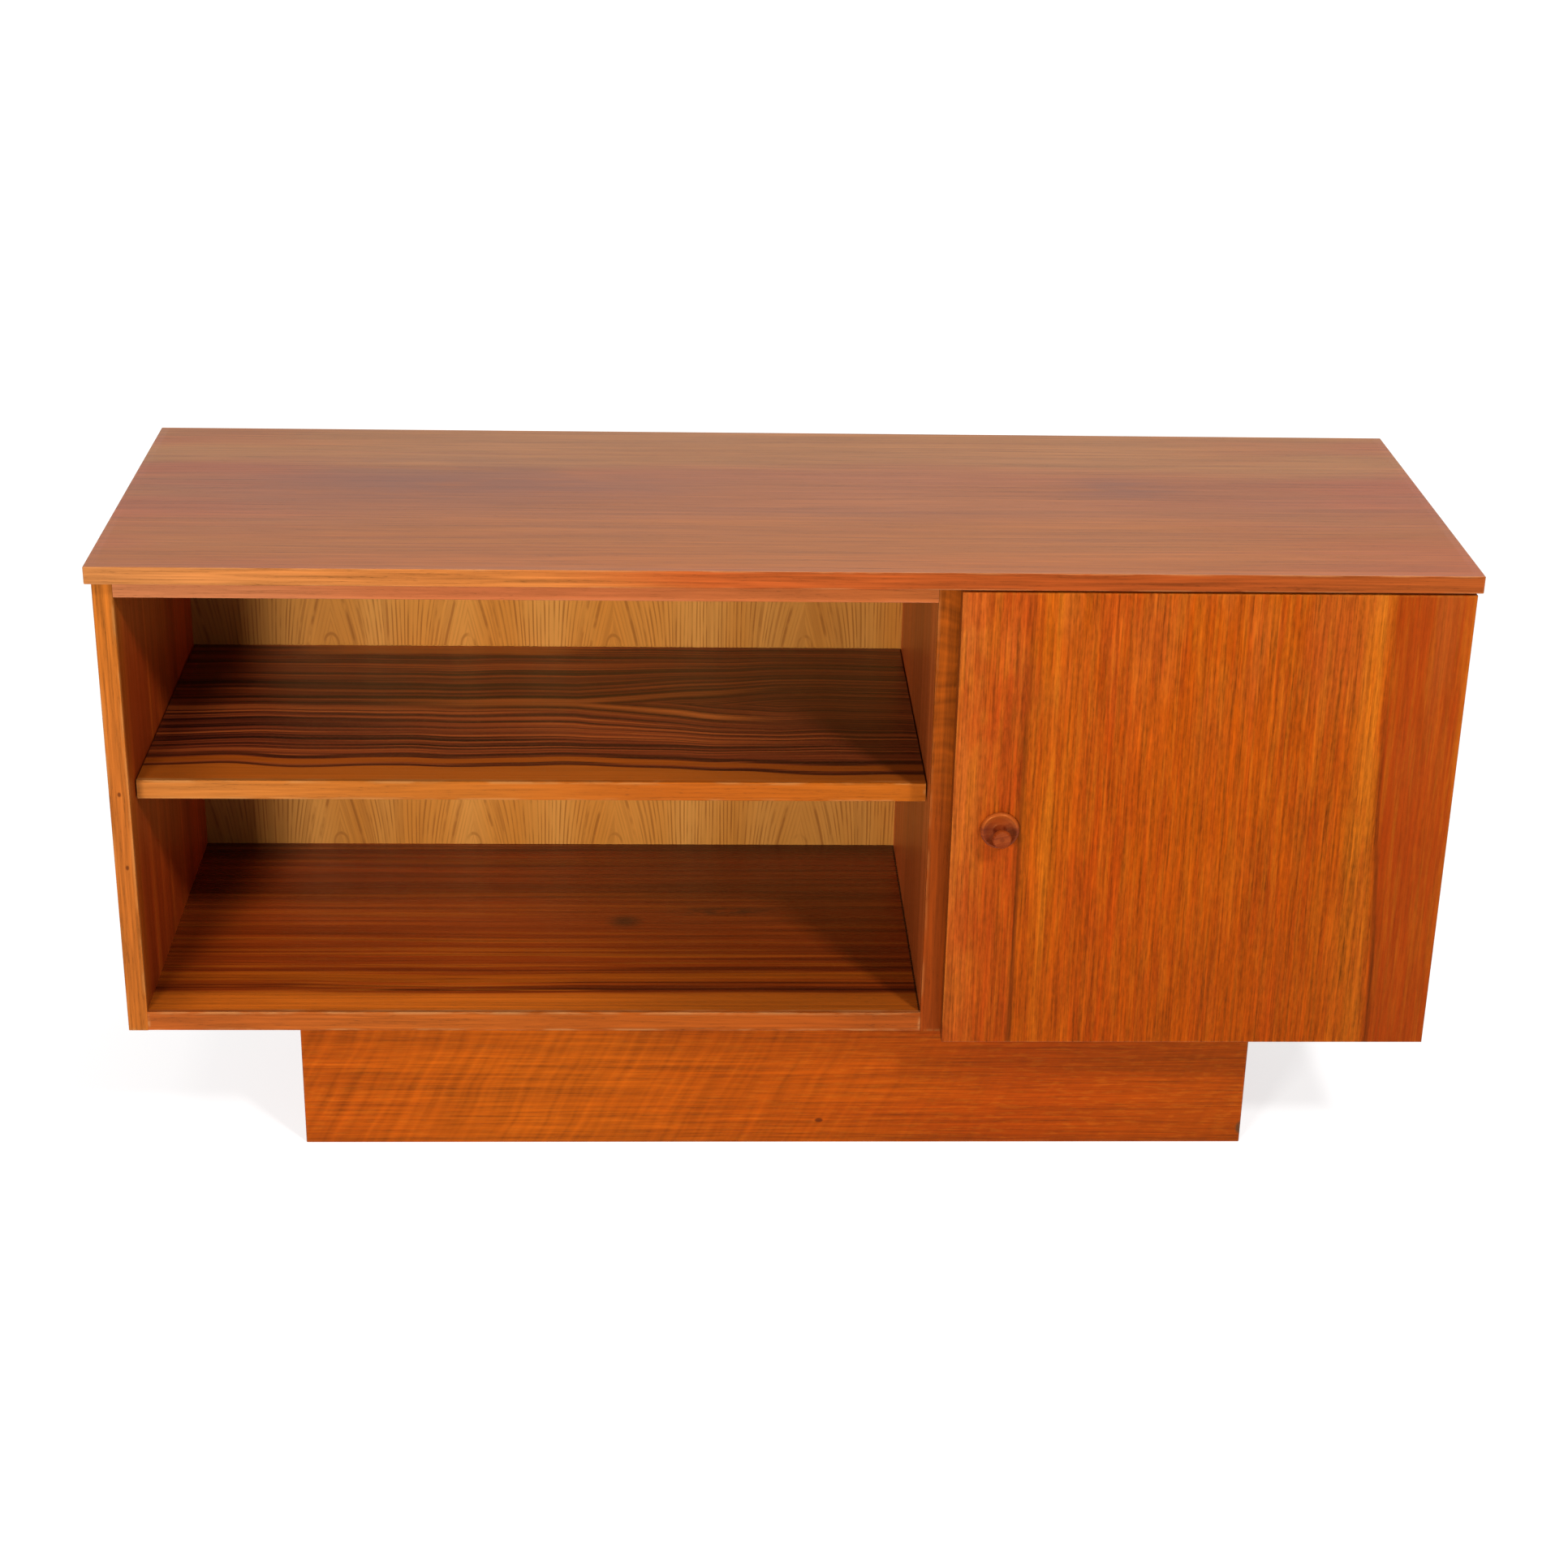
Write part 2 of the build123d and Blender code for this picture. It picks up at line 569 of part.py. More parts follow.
def catch_pieces():
    """A moulded housing with a magnet between two pole plates, open towards the door."""
    x0, x1 = CATCH_X - CATCH_W / 2, CATCH_X + CATCH_W / 2
    y0 = CATCH_FRONT_Y
    px0, px1 = CATCH_X - POCKET_W / 2, CATCH_X + POCKET_W / 2
    pz0 = CATCH_Z + (CATCH_H - POCKET_H) / 2
    pz1 = pz0 + POCKET_H
    y_back = y0 + POCKET_D
    housing = block(x0, x1, y0, y0 + CATCH_D, CATCH_Z, SUBTOP_Z) - block(px0, px1, y0 - 1, y_back, pz0, pz1)
    housing = cut(housing, [screw_hole(CATCH_SCREW, p, UP) for p in catch_screw_points()])
    plate = block(CATCH_X - STRIKE_W / 2, CATCH_X + STRIKE_W / 2, DOOR_BACK_Y, DOOR_BACK_Y + STRIKE_T,
                  STRIKE_Z, STRIKE_Z + STRIKE_H)
    plate = fillet(plate.edges().filter_by(Axis.Y), STRIKE_CORNER_R)
    return {
        "catch_housing": housing,
        "catch_magnet": block(px0, px1, y0 + MAGNET_SETBACK, y_back, pz0 + POLE_T, pz1 - POLE_T),
        "catch_pole_plates": group([block(px0, px1, y0, y_back, pz0, pz0 + POLE_T),
                                    block(px0, px1, y0, y_back, pz1 - POLE_T, pz1)]),
        "catch_screws": group(screw(CATCH_SCREW, p, UP) for p in catch_screw_points()),
        "strike_plate": plate - screw_hole(STRIKE_SCREW, STRIKE_SCREW_POINT, INTO_DOOR),
        "strike_screw": screw(STRIKE_SCREW, STRIKE_SCREW_POINT, INTO_DOOR),
    }


# ---------------------------------------------------------------- plinth

def plinth_pieces():
    half = PLINTH_W / 2
    y0, y1 = PLINTH_FRONT_Y, PLINTH_REAR_Y
    inner0, inner1 = y0 + PLINTH_T, y1 - PLINTH_T
    blocks = []
    for side in (-1, 1):
        outer = side * PLINTH_END_X
        inner = side * (PLINTH_END_X - CORNER_BLOCK)
        for start in (inner0, inner1 - CORNER_BLOCK):
            blocks.append(block(min(inner, outer), max(inner, outer), start, start + CORNER_BLOCK,
                                CORNER_BLOCK_LIFT, CORNER_BLOCK_LIFT + CORNER_BLOCK_H))
    front = block(-half, half, y0, inner0, 0, PLINTH_H)
    front_edges = front.faces().sort_by(Axis.Y)[0].edges().filter_by(Axis.Z)
    pieces = {
        "plinth_front": fillet(front_edges, PLINTH_EDGE_R),
        "plinth_back": block(-half, half, inner1, y1, 0, PLINTH_H),
        "plinth_left": block(-half, -PLINTH_END_X, inner0, inner1, 0, PLINTH_H),
        "plinth_right": block(PLINTH_END_X, half, inner0, inner1, 0, PLINTH_H),
        "plinth_corner_blocks": group(blocks),
    }
    for row, middle in CLEAT_MIDDLES.items():
        cleat = block(-PLINTH_END_X, PLINTH_END_X, middle - CLEAT / 2, middle + CLEAT / 2,
                      PLINTH_H - CLEAT, PLINTH_H)
        points = cleat_screw_points("left", [row]) + cleat_screw_points("right", [row])
        pieces[f"plinth_cleat_{row}"] = cut(cleat, [screw_hole(CLEAT_SCREW, p, UP) for p in points])
    return pieces


# ---------------------------------------------------------------- assembly

def carcass_pieces():
    return {
        "side_left": side_left(),
        "side_left_lipping": upright_lipping(-HALF_W, -INSIDE_X),
        "side_right": side_right(),
        "side_right_lipping": side_right_lipping(),
        "divider": divider(),
        "divider_lipping": upright_lipping(DIVIDER_X, DIVIDER_RIGHT),
        "back_panel": back_panel(),
    }


def bay_pieces(bay, shelf_front):
    x0, x1 = BAYS[bay]
    return {
        f"bottom_{bay}": bottom_board(bay),
        f"bottom_{bay}_lipping": level_lipping(x0, x1, CARCASS_Z, BOTTOM_Z),
        f"subtop_{bay}": subtop_board(bay),
        f"subtop_{bay}_lipping": level_lipping(x0, x1, SUBTOP_Z, CARCASS_TOP),
        f"shelf_{bay}": shelf_slab(bay, shelf_front + LIPPING_T, SHELF_BACK),
        f"shelf_{bay}_lipping": sanded(shelf_slab(bay, shelf_front, shelf_front + LIPPING_T), Axis.X),
        f"shelf_pins_{bay}": group(shelf_pins(bay)),
    }


def fastener_pieces():
    all_faces = BAY_FACES["left"] + BAY_FACES["right"]
    top_points = top_screw_points("left") + top_screw_points("right")
    cleat_points = cleat_screw_points("left") + cleat_screw_points("right")
    side_points = leaf_screw_points(FRONT_Y)
    door_points = leaf_screw_points(DOOR_BACK_Y)
    return {
        "carcass_dowels": group(dowels(all_faces, LEVEL_BOARDS)),
        "top_screws": group(screw(TOP_SCREW, p, UP) for p in top_points),
        "cleat_screws": group(screw(CLEAT_SCREW, p, UP) for p in cleat_points),
        "back_nails": group(back_nails()),
        "hinge_screws_side": group(screw(LEAF_SCREW, p, INTO_SIDE) for p in side_points),
        "hinge_screws_door": group(screw(DOOR_LEAF_SCREW, p, INTO_DOOR) for p in door_points),
    }


pieces = {
    **top_pieces(),
    **carcass_pieces(),
    **bay_pieces("left", LEFT_SHELF_FRONT),
    **bay_pieces("right", RIGHT_SHELF_FRONT),
    **plinth_pieces(),
    **door_pieces(),
    "door_knob": knob(),
    "knob_screw": knob_screw(),
    **hinge_pieces(),
    **catch_pieces(),
    **fastener_pieces(),
}

os.makedirs("parts", exist_ok=True)
for name, piece in pieces.items():
    export_step(piece, f"parts/{name}.step")
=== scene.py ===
import math

import bpy
from mathutils import Matrix, Vector


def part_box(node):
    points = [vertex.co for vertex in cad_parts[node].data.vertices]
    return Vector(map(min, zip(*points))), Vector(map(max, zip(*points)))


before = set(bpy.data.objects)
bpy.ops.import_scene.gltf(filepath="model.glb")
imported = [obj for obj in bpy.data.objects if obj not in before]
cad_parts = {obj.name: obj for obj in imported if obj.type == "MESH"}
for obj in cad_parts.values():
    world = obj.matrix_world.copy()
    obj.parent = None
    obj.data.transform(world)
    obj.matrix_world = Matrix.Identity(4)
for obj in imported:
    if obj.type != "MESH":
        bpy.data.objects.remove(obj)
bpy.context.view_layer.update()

X, Y, Z = 0, 1, 2

# The looks of a low teak cabinet with one door: a material for every piece, a white studio, four lamps
# and the photograph's camera. Everything is in metres, in the object's own frame.

# Colours are written about as they look in the finished picture, 0 to 255. A gain makes up for the light,
# and is lower where more of it falls.
FRONT = 0.44        # lippings, door, plinth front, knob, and the outer faces of the sides
LEVEL = 0.62        # the top's upper face
BAY = 1.1           # striped shelf, bottom boards and back panel
SIDE = 0.84         # the sides, except their outer faces
STRIP = 0.72        # the lighter strip along the front of the sides' inner faces
HIDDEN = 0.6        # unfinished wood, and the plinth's hidden boards

WHITE = (1.0, 1.0, 1.0, 1.0)
BLACK = (0.0, 0.0, 0.0, 1.0)
WARM_GLOSS = (1.0, 0.45, 0.14, 1.0)
DOOR_GLOSS = (1.0, 0.42, 0.07, 1.0)


# ---------------------------------------------------------------- material building

def paint(red, green, blue, gain=1.0):
    """Turns a colour as it looks on a screen, 0 to 255, into the surface's own colour."""
    def linear(value):
        value /= 255
        return value / 12.92 if value <= 0.04045 else ((value + 0.055) / 1.055) ** 2.4
    return tuple(min(linear(value) * gain, 1.0) for value in (red, green, blue)) + (1.0,)


class Recipe:
    """One material, with short calls that add nodes to it. Lengths are in metres."""

    def __init__(self, name, grain=X, seed=0.0):
        self.material = bpy.data.materials.new(name)
        self.material.use_nodes = True
        self.tree = self.material.node_tree
        self.tree.nodes.clear()
        self.shader = self.node("ShaderNodeBsdfPrincipled")
        output = self.node("ShaderNodeOutputMaterial")
        self.tree.links.new(self.shader.outputs[0], output.inputs["Surface"])
        self.grain = grain
        self.seed = seed
        self.rest = self.node("ShaderNodeTexCoord").outputs["Object"]
        self.place = self.rest

    def node(self, kind, **settings):
        new = self.tree.nodes.new(kind)
        for key, value in settings.items():
            setattr(new, key, value)
        return new

    def feed(self, socket, value):
        if isinstance(value, bpy.types.NodeSocket):
            self.tree.links.new(value, socket)
        else:
            socket.default_value = value

    # -------------------------------- numbers

    def math(self, operation, a, b=0.0, c=0.0):
        new = self.node("ShaderNodeMath", operation=operation)
        for socket, value in zip(new.inputs, (a, b, c)):
            self.feed(socket, value)
        return new.outputs[0]

    def plus(self, a, b):
        return self.math("ADD", a, b)

    def minus(self, a, b):
        return self.math("SUBTRACT", a, b)

    def times(self, first, *others):
        """The product of all the values."""
        for other in others:
            first = self.math("MULTIPLY", first, other)
        return first

    def scaled(self, value, by, start):
        """The value times one number, plus another."""
        return self.math("MULTIPLY_ADD", value, by, start)

    def uneven(self, value, noise, amount):
        """The value, moved up and down with the noise by up to half the amount."""
        return self.math("MULTIPLY_ADD", self.minus(noise, 0.5), amount, value)

    def diagonal(self, a, b):
        """The long side of a right triangle with these two short sides."""
        return self.math("SQRT", self.plus(self.times(a, a), self.times(b, b)))

    def ease(self, value, low, high, to_low=0.0, to_high=1.0, smooth=True):
        """Goes from to_low to to_high while the value goes from low to high."""
        kind = "SMOOTHSTEP" if smooth else "LINEAR"
        new = self.node("ShaderNodeMapRange", interpolation_type=kind, clamp=True)
        for socket, entry in zip(new.inputs, (value, low, high, to_low, to_high)):
            self.feed(socket, entry)
        return new.outputs[0]

    def line(self, value, centre, full, gone, strength=1.0, beyond=0.0):
        """Strength within a distance full of the centre, easing to beyond at a distance gone from it."""
        away = self.math("ABSOLUTE", self.minus(value, centre))
        return self.ease(away, full, gone, strength, beyond)

    def band(self, value, start, end, soft=0.001):
        """1 where the value is between start and end."""
        after = self.ease(value, start - soft, start + soft)
        before = self.ease(value, end + soft, end - soft)
        return self.times(after, before)

    # -------------------------------- places

    def vector(self, x, y, z):
        new = self.node("ShaderNodeCombineXYZ")
        for socket, value in zip(new.inputs, (x, y, z)):
            self.feed(socket, value)
        return new.outputs[0]

    def vectors(self, operation, a, b=(0.0, 0.0, 0.0)):
        new = self.node("ShaderNodeVectorMath", operation=operation)
        self.feed(new.inputs[0], a)
        self.feed(new.inputs[1], b)
        return new.outputs["Value" if operation == "LENGTH" else "Vector"]

    def axis(self, index, source=None):
        new = self.node("ShaderNodeSeparateXYZ")
        self.feed(new.inputs[0], source or self.place)
        return new.outputs[index]

    def fraction(self, index, corners, source=None):
        """0 at the low side of a box to 1 at its high side."""
        value = self.axis(index, source or self.rest)
        return self.ease(value, corners[0][index], corners[1][index], smooth=False)

    def facing(self, index, sign=1):
        """1 on the faces that look along an axis of the piece, 0 on the others."""
        normal = self.node("ShaderNodeTexCoord").outputs["Normal"]
        return self.ease(self.times(self.axis(index, normal), sign), 0.6, 0.9)

    def spot(self, centre, radii, soft=0.6):
        """1 inside an ellipsoid at the centre, fading to 0 at its surface."""
        offset = self.vectors("DIVIDE", self.vectors("SUBTRACT", self.place, centre), radii)
        return self.ease(self.vectors("LENGTH", offset), 1.0 - soft, 1.0, 1.0, 0.0)

    def to_edge(self, corners):
        """Distance to the nearest edge of a box, for a point on its surface."""
        gaps = []
        for index in (X, Y, Z):
            value = self.axis(index, self.rest)
            below = self.minus(value, corners[0][index])
            above = self.minus(corners[1][index], value)
            gaps.append(self.math("MINIMUM", below, above))
        lower = self.math("MINIMUM", gaps[X], gaps[Y])
        upper = self.math("MAXIMUM", gaps[X], gaps[Y])
        return self.math("MAXIMUM", lower, self.math("MINIMUM", upper, gaps[Z]))

    # -------------------------------- patterns

    def stretched(self, across, along, offset, source=None):
        """The place, counted in steps of across, and in steps of along on the grain's axis."""
        scale = [1 / across] * 3
        scale[self.grain] = 1 / along
        mapping = self.node("ShaderNodeMapping")
        self.feed(mapping.inputs["Vector"], source or self.place)
        mapping.inputs["Location"].default_value = offset
        mapping.inputs["Scale"].default_value = scale
        return mapping.outputs[0]

    def texture(self, vector, detail=2.0, rough=0.5, scale=1.0, output="Fac"):
        new = self.node("ShaderNodeTexNoise")
        self.feed(new.inputs["Vector"], vector)
        new.inputs["Scale"].default_value = scale
        new.inputs["Detail"].default_value = detail
        new.inputs["Roughness"].default_value = rough
        return new.outputs[output]

    def noise(self, across, along, detail=2.0, rough=0.5, shift=0.0, source=None):
        """Noise stretched along the grain, from 0 to 1 and mostly near 0.5. Each shift gives another one."""
        start = self.seed * 7.31 + shift
        offset = (start, start * 1.7 + 3.1, start * 0.6 + 9.7)
        return self.texture(self.stretched(across, along, offset, source), detail, rough)

    def warp(self, across, along, amount):
        """Bends every later pattern sideways by up to half the amount."""
        offset = (self.seed, self.seed + 4.2, self.seed - 2.9)
        bend = self.texture(self.stretched(across, along, offset), 1.0, output="Color")
        reach = [amount] * 3
        reach[self.grain] = 0.0
        sideways = self.vectors("MULTIPLY", self.vectors("SUBTRACT", bend, (0.5, 0.5, 0.5)), reach)
        self.place = self.vectors("ADD", self.place, sideways)

    # -------------------------------- colours

    def ramp(self, value, stops, kind="LINEAR"):
        new = self.node("ShaderNodeValToRGB")
        new.color_ramp.interpolation = kind
        points = new.color_ramp.elements
        while len(points) < len(stops):
            points.new(0.5)
        # The points sort themselves as they move, so all get their places before they get their colours.
        for point, (at, colour) in zip(points, stops):
            point.position = at
        for point, (at, colour) in zip(points, stops):
            point.position = at
            point.color = colour
        self.feed(new.inputs[0], value)
        return new.outputs["Color"]

    def tones(self, value, stops, gain, kind="LINEAR"):
        """A ramp whose stops are a number from 0 to 1 and a colour as it looks."""
        return self.ramp(value, [(at, paint(*tone, gain)) for at, tone in stops], kind)

    def mottle(self, value, tones, gain):
        """A ramp of three colours over the middle part of a noise."""
        return self.tones(value, zip((0.3, 0.5, 0.7), tones), gain)

    def blend(self, amount, a, b, mode="MIX"):
        new = self.node("ShaderNodeMix", data_type="RGBA", blend_type=mode, clamp_result=False)
        self.feed(new.inputs[0], amount)
        self.feed(new.inputs[6], a)
        self.feed(new.inputs[7], b)
        return new.outputs[2]

    def toward(self, colour, target, *amounts):
        """The colour, turned towards the target by the product of the amounts."""
        return self.blend(self.times(*amounts), colour, target)

    def shade(self, colour, *amounts):
        """The colour times the product of the amounts."""
        new = self.node("ShaderNodeVectorMath", operation="SCALE")
        self.feed(new.inputs[0], colour[:3] if isinstance(colour, tuple) else colour)
        self.feed(new.inputs["Scale"], self.times(*amounts))
        return new.outputs[0]

    def worn(self, colour, corners, tint, reach=0.0035, amount=0.55):
        """Uneven wear in another tint along the edges of a box."""
        patches = self.ease(self.noise(0.006, 0.045, 3.0, 0.6, shift=31.0, source=self.rest), 0.42, 0.62)
        near = self.ease(self.to_edge(corners), 0.0, reach, amount, 0.0)
        return self.toward(colour, tint, near, patches)

    def finish(self, colour, rough, height=None, depth=0.0001, specular=0.5, tint=None):
        """Gives the shader its colour, roughness, gloss and bump. Depth is the bump's height in metres."""
        shader = self.shader
        self.feed(shader.inputs["Base Color"], colour)
        self.feed(shader.inputs["Roughness"], rough)
        shader.inputs["Specular IOR Level"].default_value = specular
        if tint:
            shader.inputs["Specular Tint"].default_value = tint
        if height is not None:
            bump = self.node("ShaderNodeBump")
            bump.inputs["Strength"].default_value = 0.6
            bump.inputs["Distance"].default_value = depth
            self.feed(bump.inputs["Height"], height)
            self.feed(shader.inputs["Normal"], bump.outputs[0])
        return self.material


# ---------------------------------------------------------------- teak

def lay_grain(r, grain, spacing, length, wave):
    """Makes the parts of the teak figure: lines along the grain, fine lines, broad bands and pores."""
    r.grain = grain
    r.place = r.rest
    r.warp(0.05, 0.35, wave)
    r.medium = r.noise(spacing, length, 3.0, 0.62)
    r.fine = r.noise(0.0011, 0.05, 2.0, 0.6, shift=5.0)
    r.broad = r.noise(0.03, 0.8, 2.0, 0.5, shift=11.0)
    dashes = r.ease(r.noise(0.0006, 0.008, 1.0, 0.5, shift=17.0), 0.60, 0.70)
    r.pores = r.times(dashes, r.ease(r.medium, 0.62, 0.42))


def teak(name, grain, seed, spacing, length, wave):
    """A recipe with its teak figure ready."""
    r = Recipe(name, grain, seed)
    lay_grain(r, grain, spacing, length, wave)
    return r


def figure(r, medium, fine, broad, pores):
    """The lightness of the figure, about 1 on average. The numbers say how strong each part is."""
    total = 1.0
    for value, weight in ((r.medium, medium), (r.fine, fine), (r.broad, broad)):
        total = r.uneven(total, value, weight)
    return r.scaled(r.pores, -pores, total)


def oiled(r, colour, rough=0.42, specular=0.22, tint=WARM_GLOSS):
    """Oiled teak: roughness and bump follow the lines and pores."""
    roughness = r.scaled(r.medium, -0.14, rough + 0.07)
    height = r.scaled(r.pores, -0.8, r.times(r.fine, 0.5))
    return r.finish(colour, roughness, height, 0.00012, specular, tint)


def joined(*names):
    """The box round several nodes."""
    boxes = [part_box(name) for name in names]
    low = [min(box[0][index] for box in boxes) for index in range(3)]
    high = [max(box[1][index] for box in boxes) for index in range(3)]
    return low, high


def ripples(r, grain, period, width, slant, wander=2.5):
    """Bars across the grain, as in curly wood. Wander is how far they bend, in periods."""
    across = r.axis(X if grain == Z else Z)
    along = r.scaled(across, slant, r.axis(grain))
    bend = r.texture(r.vector(r.times(along, 9.0), r.times(across, 25.0), r.seed), 1.0)
    along = r.scaled(bend, period * wander, along)
    return r.texture(r.vector(r.math("DIVIDE", along, period), r.math("DIVIDE", across, width), r.seed), 1.0)


def solid_teak(name, grain, seed, stops, wear, contrast=1.0, curl=0.0, nicks=()):
    """A solid lipping. Its stops are colours along the grain. Curl adds bars across its far half."""
    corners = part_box(name)
    r = teak(name, grain, seed, 0.0028, 0.09, 0.003)
    along = r.fraction(grain, corners)
    colour = r.tones(r.uneven(along, r.broad, 0.3), stops, FRONT, "EASE")
    light = figure(r, 1.2 * contrast, 0.4, 0.35, 0.25)
    if curl:
        bars = ripples(r, grain, 0.008, 0.06, 0.15)
        light = r.uneven(light, bars, r.ease(along, 0.35, 0.7, 0.0, curl))
    colour = r.worn(r.shade(colour, light), corners, paint(*wear, FRONT))
    for centre in nicks:
        mark = r.spot(centre, (0.0022, 0.004, 0.0032))
        colour = r.toward(colour, paint(110, 44, 14, FRONT), mark, 0.8)
    return oiled(r, colour)


# ---------------------------------------------------------------- the top

def top_corners():
    return joined("top_board", "top_lipping_left", "top_lipping_right", "top_lipping_front")


def top_colour(r):
    """The top's upper face: soft bands along the grain, fine lines and two faint grey stains."""
    corners = top_corners()
    lay_grain(r, X, 0.0034, 0.22, 0.006)
    depth = r.fraction(Y, corners, r.place)
    colour = r.tones(r.uneven(depth, r.noise(0.07, 0.45, 2.0, 0.5, shift=21.0), 0.55), (
        (0.00, (184, 100, 30)),
        (0.20, (182, 103, 37)),
        (0.42, (177, 101, 47)),
        (0.60, (174, 99, 53)),
        (0.80, (182, 115, 59)),
        (1.00, (186, 118, 60)),
    ), LEVEL, "EASE")
    ends = r.ease(r.math("ABSOLUTE", r.axis(X)), 0.30, 0.62)
    patches = r.ease(r.noise(0.05, 0.3, 2.0, 0.5, shift=61.0), 0.35, 0.65)
    colour = r.toward(colour, paint(182, 84, 44, LEVEL), ends, patches, 0.5)
    streaks = r.ease(r.noise(0.005, 0.4, 3.0, 0.6, shift=23.0), 0.52, 0.70)
    colour = r.toward(colour, paint(160, 76, 48, LEVEL), streaks, 0.22)
    colour = r.shade(colour, figure(r, 0.9, 0.6, 0.4, 0.20))
    surface = corners[1][Z]
    large_stain = r.spot((-0.30, 0.05, surface), (0.33, 0.10, 0.1), 1.0)
    small_stain = r.spot((0.325, 0.045, surface), (0.10, 0.05, 0.1), 0.95)
    stains = r.math("MAXIMUM", large_stain, small_stain)
    cloud = r.ease(r.noise(0.03, 0.16, 3.0, 0.6, shift=27.0), 0.34, 0.60)
    colour = r.toward(colour, paint(138, 88, 72, LEVEL), stains, cloud, 0.55)
    return r.worn(colour, corners, paint(214, 140, 84, LEVEL), 0.003, 0.4)


def lacquered(r, colour, specular, tint=None):
    """The top's satin lacquer, unevenly worn."""
    rough = r.scaled(r.noise(0.12, 0.3, 2.0, 0.5, shift=33.0), 0.16, 0.33)
    height = r.scaled(r.pores, -0.6, r.times(r.fine, 0.4))
    return r.finish(colour, rough, height, 0.0001, specular, tint)


def top_veneer():
    r = Recipe("top_veneer", X, 1.0)
    return lacquered(r, top_colour(r), 0.5)


def top_edge(name, stops, seed):
    """A lipping of the top: its upper face matches the veneer, its outer face is solid teak."""
    corners = top_corners()
    grain = X if name.endswith("front") else Y
    r = Recipe(name, grain, 1.0)
    # The lippings reflect less than the veneer, so their upper face gets this much more colour.
    missing_gloss = (0.020, 0.030, 0.036, 1.0)
    upper = r.blend(1.0, top_colour(r), missing_gloss, "ADD")
    up = r.facing(Z)
    r.seed = seed
    lay_grain(r, grain, 0.0022, 0.12, 0.003)
    along = r.fraction(grain, corners)
    outer = r.tones(r.uneven(along, r.broad, 0.3), stops, FRONT, "EASE")
    outer = r.shade(outer, figure(r, 1.6, 0.6, 0.35, 0.25))
    outer = r.worn(outer, corners, paint(236, 160, 98, FRONT), 0.0022, 0.5)
    return lacquered(r, r.blend(up, outer, upper), 0.22, WARM_GLOSS)


# ---------------------------------------------------------------- door and plinth

# Metres from the door's left edge, colour.
DOOR_TONES = (
    (0.000, (217, 105, 34)),
    (0.020, (215, 104, 30)),
    (0.030, (206, 86, 19)),
    (0.046, (204, 82, 15)),
    (0.0595, (200, 80, 11)),
    (0.0645, (208, 90, 8)),
    (0.080, (216, 98, 10)),
    (0.087, (226, 114, 18)),
    (0.092, (214, 96, 8)),
    (0.113, (208, 86, 6)),
    (0.136, (204, 78, 4)),
    (0.181, (208, 88, 3)),
    (0.250, (203, 85, 3)),
    (0.320, (199, 82, 3)),
    (0.350, (204, 88, 5)),
    (0.358, (214, 104, 14)),
    (0.369, (222, 116, 22)),
    (0.3755, (202, 90, 8)),
    (0.380, (186, 68, 6)),
    (0.398, (188, 69, 9)),
    (0.440, (192, 74, 12)),
    (0.449, (214, 102, 20)),
)
# Metres from the door's left edge, strength low down, strength high up.
DOOR_JOINTS = (
    (0.0620, 0.80, 0.30),
    (0.3795, 0.62, 0.10),
)


